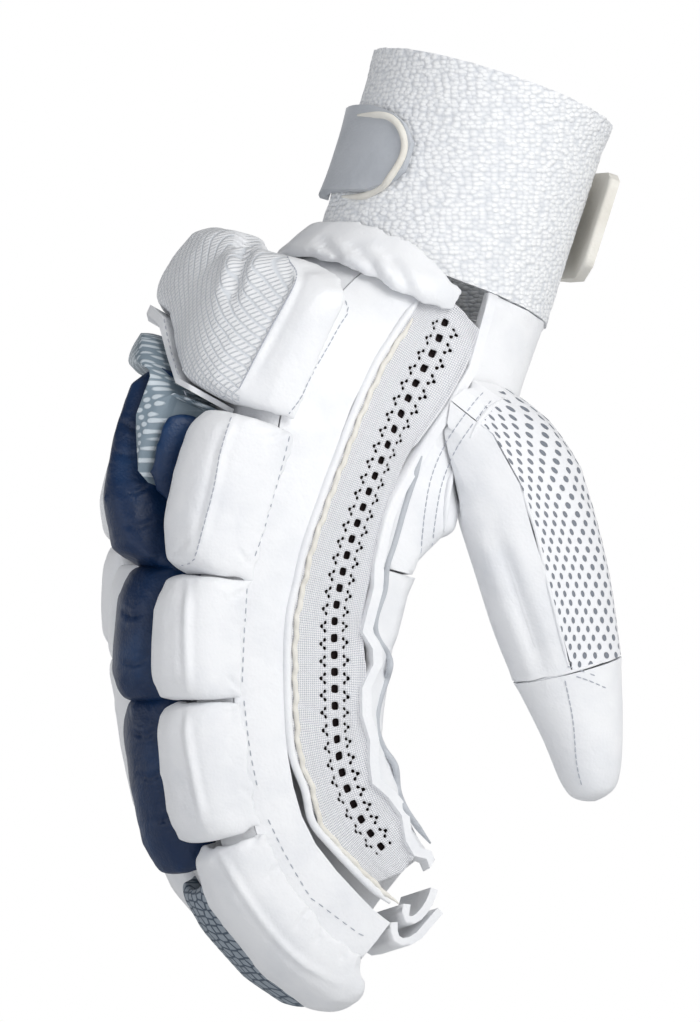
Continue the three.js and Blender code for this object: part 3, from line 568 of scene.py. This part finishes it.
def soft_tube(name, found, radius, material, slot):
    """A tube along a seam, narrowed at its ends, turned into a mesh."""
    line = bpy.data.curves.new(name, "CURVE")
    line.dimensions = "3D"
    line.bevel_depth = radius
    line.bevel_resolution = TUBE_SIDES
    line.use_fill_caps = True
    spline = line.splines.new("POLY")
    spline.points.add(len(found) - 1)
    for k, (place, _) in enumerate(found):
        spline.points[k].co = (*place, 1)
        spline.points[k].radius = min(1.0, END_WIDTH + END_GROWTH * min(k, len(found) - 1 - k))
    piece = bpy.data.objects.new(name, line)
    scene.collection.objects.link(piece)
    activate(piece)
    bpy.ops.object.convert(target="MESH")
    piece = bpy.context.object
    activate(piece)
    bpy.ops.object.mode_set(mode="EDIT")
    bpy.ops.mesh.select_all(action="SELECT")
    bpy.ops.mesh.remove_doubles(threshold=0.01 * MM)
    bpy.ops.mesh.normals_make_consistent(inside=False)
    bpy.ops.object.mode_set(mode="OBJECT")
    bpy.ops.object.shade_smooth()
    dress(piece, material, slot)
    return piece


def waved(found, height, length, aside_share=0.5):
    """Ruffles a line: it swings out from the surface and to the side."""
    moved = []
    run = 0.0
    for k, (place, normal) in enumerate(found):
        nearby = found[min(k + 1, len(found) - 1)][0] - found[max(k - 1, 0)][0]
        along = nearby.normalized()
        aside = along.cross(normal)
        turn = 2 * math.pi * run / length
        moved.append((place + normal * (math.sin(turn) * height)
                      + aside * (math.cos(turn * 0.5) * height * aside_share), normal))
        run += nearby.length / 2
    return moved


# %% [markdown]
# ## The knitted side
# The side of the index finger is a knitted vent. Its big holes stand in one row, with small
# ones beside them, and fine ribs run along both edges. It is a grid of squares laid on the
# solid between the leather edge and the welt. Squares are taken out for the holes, and the
# subdivision rounds them, as yarn does.

# %% Knitted vent
LEATHER_EDGE = [(420, 298), (405, 318), (392, 338), (376, 364), (355, 410), (338, 454), (323, 494),
                (305, 546), (296, 584), (289, 618), (287, 670), (291, 748), (305, 790),
                (312, 821), (330, 844), (365, 881), (390, 903)]
WELT_EDGE = [(484, 322), (477, 340), (463, 372), (434, 420), (407, 454), (392, 498), (380, 540),
             (372, 565), (370, 588), (361, 616), (362, 634), (375, 655), (375, 668), (365, 699),
             (362, 724), (369, 746), (381, 764), (384, 790), (394, 812), (420, 846), (427, 880)]
HOLE_ROW = [(455, 304), (445, 321), (434, 350), (415, 385), (400, 417), (385, 453), (372, 485),
            (360, 517), (348, 552), (340, 588), (335, 622), (335, 671), (336, 720), (341, 768),
            (351, 799), (365, 826), (382, 848), (403, 872)]
vent_nodes = ("knit_gusset", "side_leather", "palm_welt", "palm_leather", "index_stall")
vent_tree = tree_of([nodes[n] for n in vent_nodes])
HOLE_PITCH = 5.1 * MM
ROW_STEP = HOLE_PITCH / 4
NEAR_COLUMNS = 12                 # from the hole row to the leather edge
FAR_COLUMNS = 8                   # from the hole row to the welt
KNIT_SINK = 0.5 * MM              # the knit lies a little below the leather beside it
RIB_HEIGHT = 0.4 * MM
FALL_THROUGH = 1.5 * MM          # a place this much deeper than its neighbours fell through


def nearest_on(points, place):
    return min(points, key=lambda p: (p - place).length_squared)


def evened_limits(limits, reach=7):
    """Each limit as the mean of its neighbours, so that the knit's columns run smoothly."""
    return [sum(limits[max(0, k - reach):k + reach + 1], Vector((0, 0)))
            / len(limits[max(0, k - reach):k + reach + 1]) for k in range(len(limits))]


def knitted_vent():
    edge = smooth_path(LEATHER_EDGE, 1.5)
    welt = smooth_path(WELT_EDGE, 1.5)
    middle = smooth_path(HOLE_ROW, ROW_STEP / PIXEL)
    nears = evened_limits([nearest_on(edge, centre) for centre in middle])
    fars = evened_limits([nearest_on(welt, centre) for centre in middle])
    columns = NEAR_COLUMNS + FAR_COLUMNS + 1
    corners, coords = [], []
    for row, centre in enumerate(middle):
        near, far = nears[row], fars[row]
        for k in range(-NEAR_COLUMNS, FAR_COLUMNS + 1):
            limit, count = (near, NEAR_COLUMNS) if k < 0 else (far, FAR_COLUMNS)
            pixel = centre.lerp(limit, abs(k) / count)
            place, _ = sight(vent_tree, pixel[0], pixel[1])
            if place is None:
                place = corners[-1]
            rib = RIB_HEIGHT * (abs(k) % 2) * (abs(k) > 3)
            corners.append(place - towards * (KNIT_SINK - rib))
            coords.append((k, row))
    faces = []
    for row in range(len(middle) - 1):
        for k in range(columns - 1):
            start = row * columns + k
            faces.append((start, start + columns, start + columns + 1, start + 1))
    deep = np.array([-(c - eye).dot(towards) for c in corners]).reshape(-1, columns)
    for row in range(deep.shape[0]):
        for k in range(columns):
            around = deep[max(0, row - 6):row + 7, max(0, k - 3):k + 4]
            excess = deep[row, k] - np.percentile(around, 35)
            if excess > FALL_THROUGH:
                corners[row * columns + k] += towards * excess
    for _ in range(3):
        for k in range(columns, len(corners) - columns):
            corners[k] = (corners[k - columns] + corners[k] * 2 + corners[k + columns]) / 4
    return corners, coords, faces, columns, len(middle)


TOP_ROWS, END_ROWS = 4, 8         # rows without holes at the wrist and at the fingertip


def is_hole(coords, face):
    """The big holes take four squares of each sixteen, the small ones a square beside them."""
    ks = [coords[c][0] for c in face]
    rows = [coords[c][1] for c in face]
    low, first = min(ks), min(rows)
    big = low in (-1, 0) and first % 4 in (0, 1)
    small = low in (-3, 2) and first % 4 in (1, 3)
    smaller = low in (-4, 3) and first % 4 == 2
    return (big or small or smaller) and first >= TOP_ROWS


corners, coords, faces, columns, rows = knitted_vent()
lowest = rows - END_ROWS
kept = [f for f in faces if not (is_hole(coords, f) and coords[f[0]][1] < lowest)]
mesh = bpy.data.meshes.new("knitted_vent")
mesh.from_pydata(corners, [], kept)
layer = mesh.uv_layers.new(name="knit")
for loop in mesh.loops:
    k, row = coords[loop.vertex_index]
    layer.data[loop.index].uv = (k, row)
vent = bpy.data.objects.new("knitted_vent", mesh)
scene.collection.objects.link(vent)
activate(vent)
bpy.ops.object.mode_set(mode="EDIT")
bpy.ops.mesh.select_all(action="SELECT")
bpy.ops.mesh.normals_make_consistent(inside=False)
bpy.ops.object.mode_set(mode="OBJECT")
facing = sum(p.normal.dot(towards) for p in vent.data.polygons)
if facing < 0:
    vent.data.flip_normals()
apply_modifier(vent, "round", "SUBSURF", levels=1, render_levels=1)
apply_modifier(vent, "yarn", "SOLIDIFY", thickness=0.9 * MM, offset=-1)
activate(vent)
bpy.ops.object.shade_smooth()
dress(vent, vent_knit, "white_knit", "knit_gusset")
print("vent rows:", rows, "faces:", len(vent.data.polygons))

# %% Painted shade behind the knit
# The dark sheet under the knit is painted shade: the inside of the glove seen through the holes.
SHADE_SHEET_DEPTH = 2.6 * MM
mesh = bpy.data.meshes.new("vent_lining")
mesh.from_pydata([Vector(c) - towards * SHADE_SHEET_DEPTH for c in corners], [], faces)
shade_sheet = bpy.data.objects.new("vent_lining", mesh)
scene.collection.objects.link(shade_sheet)
if sum(p.normal.dot(towards) for p in shade_sheet.data.polygons) < 0:
    shade_sheet.data.flip_normals()
apply_modifier(shade_sheet, "cloth", "SOLIDIFY", thickness=0.5 * MM, offset=-1)
dress(shade_sheet, painted_shade_cloth, "white_knit")

# %% [markdown]
# ## The thumb's punched back
# The back of the thumb is a white synthetic punched with a close pattern of round holes. They
# are drawn as grey dots: the lining under them, with the shade inside the holes painted in. The
# solid has only a few coarse holes. Their walls are taken out and the skin is closed, and the
# fine pattern follows a map that unrolls the thumb round its own axis.

# %% Thumb net
SMALL_WALL = 15 * MM ** 2         # a face group under this area is the wall of a hole


def close_punched_holes(piece):
    """Deletes the small groups of faces between sharp edges, and fills what they leave."""
    mesh = piece.data
    normals = [p.normal.copy() for p in mesh.polygons]
    shared = {}
    for face in mesh.polygons:
        for key in face.edge_keys:
            shared.setdefault(key, []).append(face.index)
    beside = [[] for _ in normals]
    for pair in shared.values():
        if len(pair) == 2 and normals[pair[0]].dot(normals[pair[1]]) > 0.6:
            beside[pair[0]].append(pair[1])
            beside[pair[1]].append(pair[0])
    seen, walls = set(), []
    for start in range(len(normals)):
        if start in seen:
            continue
        group, waiting = [], [start]
        seen.add(start)
        while waiting:
            face = waiting.pop()
            group.append(face)
            for other in beside[face]:
                if other not in seen:
                    seen.add(other)
                    waiting.append(other)
        if sum(mesh.polygons[f].area for f in group) < SMALL_WALL:
            walls.extend(group)
    activate(piece)
    bpy.ops.object.mode_set(mode="EDIT")
    bpy.ops.mesh.select_mode(type="FACE")
    bpy.ops.mesh.select_all(action="DESELECT")
    bpy.ops.object.mode_set(mode="OBJECT")
    for face in walls:
        mesh.polygons[face].select = True
    bpy.ops.object.mode_set(mode="EDIT")
    bpy.ops.mesh.delete(type="FACE")
    bpy.ops.mesh.select_all(action="SELECT")
    bpy.ops.mesh.fill_holes(sides=16)
    bpy.ops.mesh.select_mode(type="VERT")
    bpy.ops.mesh.select_all(action="DESELECT")
    bpy.ops.object.mode_set(mode="OBJECT")
    borders = {}
    for face in mesh.polygons:
        for key in face.edge_keys:
            borders[key] = borders.get(key, 0) + 1
    print("open edges left:", sum(n == 1 for n in borders.values()))
    return len(walls)


thumb_back = copy_of("thumb_mesh", "thumb_mesh_sewn")
print("faces of hole walls:", close_punched_holes(thumb_back))
smooth_wall(thumb_back)
round_thumb = np.array([v.co for n in ("thumb_leather", "thumb_mesh")
                        for v in nodes[n].data.vertices])
axis_x = np.polyfit(round_thumb[:, 2], round_thumb[:, 0], 2)
axis_y = np.polyfit(round_thumb[:, 2], round_thumb[:, 1], 2)
net_places = coordinates(thumb_back)
from_axis = net_places[:, :2] - np.column_stack((np.polyval(axis_x, net_places[:, 2]),
                                                 np.polyval(axis_y, net_places[:, 2])))
facing_angle = math.atan2(from_axis[:, 1].mean(), from_axis[:, 0].mean())
angles = np.arctan2(from_axis[:, 1], from_axis[:, 0]) - facing_angle
angles = (angles + math.pi) % (2 * math.pi) - math.pi
reach = np.linalg.norm(from_axis, axis=1)
layer = thumb_back.data.uv_layers.new(name="unrolled")
for loop in thumb_back.data.loops:
    layer.data[loop.index].uv = (angles[loop.vertex_index] * reach[loop.vertex_index],
                                 net_places[loop.vertex_index, 2])
dress(thumb_back, thumb_net, "thumb_mesh", "thumb_mesh")
# Above the piping the same wall is plain leather.
NET_ROWS, NET_COLUMNS = (386, 392, 405, 416, 430, 441), (535, 505, 492, 483, 474, 468)
thumb_back.data.materials.append(white_leather)
for face in thumb_back.data.polygons:
    u, v = pixel_of(face.center)
    if v < NET_ROWS[0] or (v < NET_ROWS[-1] and u < np.interp(v, NET_ROWS, NET_COLUMNS)):
        face.material_index = 1
print("thumb reach:", round(float(reach.min()) / MM, 1), round(float(reach.max()) / MM, 1), "mm")

# %% [markdown]
# ## Pads
# Each pad is foam in a leather cover, sewn down along its rim. The solid gives the place and
# the size. It is remeshed evenly, and a short cloth simulation with air pressure swells it as
# the foam does, while the rim that is sewn to the stall is held.


# %% Soft pads
hand_nodes = ("back_leather", "side_leather", "index_stall", "middle_stall", "ring_stall",
              "little_stall", "cuff")
hand_tree = tree_of([nodes[n] for n in hand_nodes])
SEWN_REACH = 1.9 * MM             # what lies nearer to the hand than this is sewn down


def swell(piece, voxel, pressure, cap, relax=2, stretch=(1.0, 0.5)):
    """Remeshes a pad evenly and swells it, with its sewn side held."""
    apply_modifier(piece, "even", "REMESH", mode="VOXEL", voxel_size=voxel)
    apply_modifier(piece, "relax", "SMOOTH", factor=0.5, iterations=relax)
    before = coordinates(piece)
    factor, share = stretch
    held = before[:, 2].min() + share * np.ptp(before[:, 2])
    before[:, 2] = held + (before[:, 2] - held) * factor
    set_coordinates(piece, before)
    sewn = piece.vertex_groups.new(name="sewn")
    near = [k for k, co in enumerate(before)
            if hand_tree.find_nearest(Vector(co), SEWN_REACH)[0] is not None]
    sewn.add(near, 1.0, "REPLACE")
    activate(piece)
    cloth = piece.modifiers.new("cloth", "CLOTH")
    settings = cloth.settings
    settings.quality = 4
    settings.mass = 0.2
    settings.tension_stiffness = 12
    settings.compression_stiffness = 12
    settings.shear_stiffness = 5
    settings.bending_stiffness = 0.6
    settings.use_pressure = True
    settings.uniform_pressure_force = pressure
    settings.effector_weights.gravity = 0
    settings.vertex_group_mass = "sewn"
    cloth.point_cache.frame_start = 1
    cloth.point_cache.frame_end = 20
    for step in range(1, 21):
        scene.frame_set(step)
    bpy.ops.object.modifier_apply(modifier=cloth.name)
    scene.frame_set(1)
    moved = coordinates(piece) - before
    length = np.linalg.norm(moved, axis=1, keepdims=True)
    moved *= np.minimum(1, cap / np.maximum(length, 1e-9))
    set_coordinates(piece, before + moved)
    piece.vertex_groups.clear()
    apply_modifier(piece, "smooth", "SUBSURF", levels=1, render_levels=1)
    activate(piece)
    bpy.ops.object.shade_smooth()
    return piece


pad_finish = {
    "index_block": (white_leather, "white_leather"),
    "index_inner": (navy_leather, "navy_leather"),
    "middle_roll": (navy_leather, "navy_leather"),
    "middle_tip_": (hexagon_net, "net_fabric"),
    "ring_roll_": (white_leather, "white_leather"),
    "little_roll": (white_leather, "white_leather"),
}
PAD_VOXEL = 2.0 * MM
PAD_CAP = 1.9 * MM
# Pads that reach further along the finger: the factor, and the share of the height that stays.
LONGER = {
    "index_inner_roll": (1.35, 0.9), "middle_roll_1": (1.22, 0.5),
    "middle_roll_2": (1.13, 0.9), "middle_roll_3": (1.04, 0.2),
    "index_block_1": (1.09, 0.95), "index_block_2": (1.08, 0.8), "index_block_3": (1.07, 0.8),
}
pads = {}
for node in sorted(nodes):
    for start, (material, slot) in pad_finish.items():
        if node.startswith(start):
            pad = swell(copy_of(node, node + "_soft"), PAD_VOXEL, 5.0, PAD_CAP,
                        stretch=LONGER.get(node, (1.0, 0.5)))
            dress(pad, material, slot, node)
            pads[node] = pad
print("pads:", len(pads))

# %% Guard pad and wrist roll
for node, material, slot in (("guard_pad", white_leather, "guard_leather"),
                             ("wrist_roll", white_leather, "white_leather")):
    pad = swell(copy_of(node, node + "_soft"), 1.5 * MM, 3.0, 1.4 * MM, relax=9)
    dress(pad, material, slot, node)
    pads[node] = pad

# %% [markdown]
# ## Folds and hollows
# Leather that is pulled over foam creases where it is gathered or bent. A fold is a soft
# groove along a line of the photograph: what lies near the line is pressed in, most in its
# middle, with a low ridge beside it where the leather has to go.


# %% Pressed folds
FOLD_REACH = 2.0                  # in widths: how far from its line a fold is felt
FOLD_TURN = 0.75 * np.pi          # how soon the groove turns into the ridge beside it


def press_fold(piece, tree, pixels, width, depth):
    """Presses a groove into a piece along a line, with a low ridge on both sides."""
    line = [place for place, _ in seam_on(tree, pixels)]
    if len(line) < 2:
        return
    spots = np.array(line)
    places = coordinates(piece)
    normals = np.empty(len(places) * 3)
    piece.data.vertices.foreach_get("normal", normals)
    normals = normals.reshape(-1, 3)
    apart = np.linalg.norm(places[:, None, :] - spots[None, :, :], axis=2)
    nearest = apart.min(axis=1)
    along = apart.argmin(axis=1) / (len(spots) - 1)
    fade = np.clip(np.sin(np.pi * np.clip(along, 0.05, 0.95)) * 1.6, 0, 1)
    share = nearest / width
    groove = np.where(share < FOLD_REACH, np.cos(np.clip(share, 0, FOLD_REACH) * FOLD_TURN)
                      * np.exp(-share ** 2), 0)
    set_coordinates(piece, places - normals * (groove * fade * depth)[:, None])


FOLDS = {
    "wrist_roll": (3.4 * MM, 1.2 * MM, [
        [(318, 240), (330, 250), (338, 262)], [(352, 246), (368, 260), (380, 283)],
        [(384, 252), (400, 270), (410, 296)]]),
    "guard_pad": (5.0 * MM, 2.0 * MM, [[(252, 228), (244, 250), (236, 275), (228, 305)]]),
    "index_block_4": (1.5 * MM, 0.7 * MM, [
        [(268, 822), (258, 836), (250, 846)], [(316, 903), (304, 916), (296, 930)],
        [(330, 912), (322, 928), (316, 944)], [(352, 930), (345, 946), (342, 962)],
        [(366, 940), (361, 955), (358, 972)], [(285, 860), (274, 870), (266, 880)]]),
    "index_block_1": (1.4 * MM, 0.6 * MM, [
        [(288, 430), (276, 436), (266, 440)], [(252, 566), (243, 556), (236, 548)],
        [(172, 556), (182, 546), (190, 540)]]),
    "index_block_2": (1.4 * MM, 0.6 * MM, [
        [(246, 590), (236, 596), (228, 600)], [(241, 690), (232, 682), (226, 676)]]),
    "index_block_3": (1.4 * MM, 0.6 * MM, [
        [(243, 704), (234, 711), (227, 716)], [(258, 802), (248, 794), (240, 788)]]),
    "middle_roll_1": (1.6 * MM, 0.9 * MM, [
        [(118, 420), (132, 428), (146, 430)], [(114, 452), (130, 456), (146, 452)],
        [(118, 490), (134, 492), (150, 486)], [(124, 524), (140, 526), (156, 520)]]),
    "middle_roll_2": (1.6 * MM, 0.9 * MM, [
        [(120, 610), (132, 616), (144, 612)], [(122, 660), (134, 664), (148, 658)]]),
    "middle_roll_3": (1.6 * MM, 0.9 * MM, [
        [(130, 730), (144, 736), (156, 730)], [(136, 775), (150, 778), (164, 772)],
        [(150, 820), (164, 820), (176, 812)]]),
}
for node, (width, depth, lines) in FOLDS.items():
    pad_tree = tree_of([pads[node]])
    for line in lines:
        press_fold(pads[node], pad_tree, line, width, depth)
# The edge between a pad's back and its side stands up, so it is pressed the other way.
RIDGES = {
    "index_block_1": [(236, 412), (222, 450), (214, 487), (198, 552)],
    "index_block_2": [(188, 580), (186, 630), (188, 690)],
    "index_block_3": [(187, 708), (188, 745), (203, 822)],
    "index_block_4": [(213, 842), (244, 895), (274, 936), (305, 965), (340, 984)],
    "guard_pad": [(284, 252), (296, 280), (270, 335), (241, 386)],
}
for node, line in RIDGES.items():
    press_fold(pads[node], tree_of([pads[node]]), line, 2.2 * MM, -0.9 * MM)
thumb_wall = bpy.data.objects["thumb_leather_sewn"]
thumb_tree = tree_of([thumb_wall])
for line, width, depth in (([(492, 520), (512, 580), (536, 650), (548, 690)], 4.5 * MM, 1.6 * MM),
                           ([(478, 575), (492, 590), (510, 600)], 2.0 * MM, 0.9 * MM),
                           ([(484, 545), (500, 552), (518, 556)], 2.0 * MM, 0.8 * MM)):
    press_fold(thumb_wall, thumb_tree, line, width, depth)
print("pads with folds:", len(FOLDS))

# %% Loops of the cuff
# The loops stand up a little, which roughens the cuff's outline as well as its shade.
LOOP = 1.9 * MM
LOOP_HEIGHT = 0.5 * MM
cuff = bpy.data.objects["cuff_sewn"]
apply_modifier(cuff, "loops", "SUBSURF", levels=1, render_levels=1)
loops = coordinates(cuff)
for k, vertex in enumerate(cuff.data.vertices):
    near = noise.voronoi(vertex.co / LOOP)[0][0]
    loops[k] += np.array(vertex.normal) * (0.45 - min(near, 0.9)) * LOOP_HEIGHT
set_coordinates(cuff, loops)
print("cuff faces:", len(cuff.data.polygons))

# %% Weave on the guard's back
# Only the back of the two lobes is embossed. Their side face is plain leather.
guard = pads["guard_pad"].data
guard.materials.append(basket_leather)
RIDGE_ROWS, RIDGE_COLUMNS = (240, 280, 389), (281, 296, 239)
for face in guard.polygons:
    u, v = pixel_of(face.center)
    before_ridge = u < np.interp(v, RIDGE_ROWS, RIDGE_COLUMNS)
    if (before_ridge or face.normal.y > 0.3) and face.normal.x < 0.2:
        face.material_index = 1
print("woven faces:", sum(f.material_index == 1 for f in guard.polygons))

# %% Piping of the badge
badge_tree = tree_of([nodes[n] for n in ("badge_tab", "cuff")])
badge_rim = [(352, 116), (372, 115), (390, 117), (402, 130), (405, 150), (396, 170), (380, 188),
             (366, 196), (348, 197), (333, 196)]
soft_tube("badge_piping", evened(seam_on(badge_tree, badge_rim, lift=0.3 * MM)), 1.1 * MM,
          cream_cloth, "cream_fabric")

# %% [markdown]
# ## Edges beside the knit
# The leather side ends in a folded edge, with a gathered cream binding under it. On the palm
# side a white welt stands up along the knit, and behind it the raw edge of the palm shows. Its
# grey is partly the suede side and partly the shade beside the welt, painted in.

# %% Folded edge, binding and raw edge
edge_line = evened(seam_on(vent_tree, LEATHER_EDGE, lift=-0.1 * MM))
soft_tube("folded_edge", edge_line, 1.25 * MM, white_leather, "white_leather")
BINDING_SHIFT = 8                 # pixels from the folded edge to the cream binding
binding_pixels = [(u + BINDING_SHIFT, v + 1) for u, v in LEATHER_EDGE[1:]]
binding_line = waved(evened(seam_on(vent_tree, binding_pixels, lift=0.1 * MM)),
                     0.45 * MM, 4.5 * MM)
soft_tube("gathered_binding", binding_line, 0.8 * MM, cream_cloth, "cream_fabric")
RAW_SHIFT = 15                    # pixels from the knit's far edge to the palm's raw edge
raw_pixels = [(u + RAW_SHIFT, v + 2) for u, v in WELT_EDGE[4:-1]]
raw_line = evened(seam_on(vent_tree, raw_pixels, lift=-0.2 * MM))
# The grey tube is the raw suede edge, with the shade beside the welt painted into its colour.
soft_tube("raw_palm_edge", raw_line, 1.0 * MM, grey_leather, "grey_leather")

# %% Seams of the pads
skin_tree = tree_of([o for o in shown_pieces() if o.name.endswith(("_sewn", "_soft"))])
SEAMS = {
    "block_ridge": [(235, 407), (221, 450), (214, 487), (204, 525), (195, 557), (190, 563),
                    (175, 566), (163, 563)],
    "block_seam_1": [(292, 426), (283, 462), (273, 498), (262, 536), (250, 569)],
    "block_seam_2": [(247, 588), (244, 640), (242, 689)],
    "block_seam_3": [(244, 700), (250, 750), (260, 799)],
    "block_seam_4": [(268, 819), (285, 854), (309, 895), (318, 903), (357, 932), (373, 940)],
    "guard_ridge": [(283, 249), (290, 262), (296, 280), (270, 330), (239, 389)],
    "guard_hem": [(187, 397), (205, 401), (225, 396), (239, 389)],
    "guard_rear": [(345, 300), (348, 312), (340, 325), (329, 345), (310, 378), (300, 399),
                   (283, 421)],
    "flange_edge": [(162, 308), (168, 340), (178, 375), (190, 404)],
    "palm_seam_1": [(484, 392), (472, 405), (447, 441), (432, 475), (425, 510),
                    (420, 560)],
    "palm_seam_2": [(492, 400), (482, 412), (458, 446), (443, 480), (436, 514),
                    (431, 556)],
    "cap_seam_1": [(567, 666), (588, 673), (608, 681)],
    "cap_seam_2": [(569, 674), (590, 681), (610, 690)],
    "thumb_seam": [(565, 680), (573, 720), (577, 765), (584, 792)],
}
for name, pixels in SEAMS.items():
    stitch_row(name, evened(seam_on(skin_tree, pixels), 1))

# %% Piping and welts of the thumb
palm_tree = tree_of([nodes["palm_leather"]])
thumb_skin = tree_of([bpy.data.objects[n] for n in ("thumb_mesh_sewn", "thumb_leather_sewn",
                                                    "thumb_tip_cap_sewn")])
WELTS = {
    "thumb_piping": (thumb_skin, 0.9, [(504, 398), (494, 405), (482, 418), (470, 438)]),
    "palm_piping": (palm_tree, 0.9, [(461, 452), (452, 474), (447, 505), (445, 532)]),
    "thumb_net_welt": (thumb_skin, 0.6, [(477, 421), (492, 434), (506, 458), (520, 484),
                                         (528, 508), (536, 531), (547, 580), (558, 625),
                                         (569, 668)]),
    "thumb_cap_welt": (thumb_skin, 0.5, [(516, 684), (540, 680), (566, 673), (590, 666),
                                         (616, 657)]),
}
for name, (tree, radius, pixels) in WELTS.items():
    soft_tube(name, evened(seam_on(tree, pixels, lift=-0.1 * MM), 5), radius * MM,
              white_leather, "white_leather")
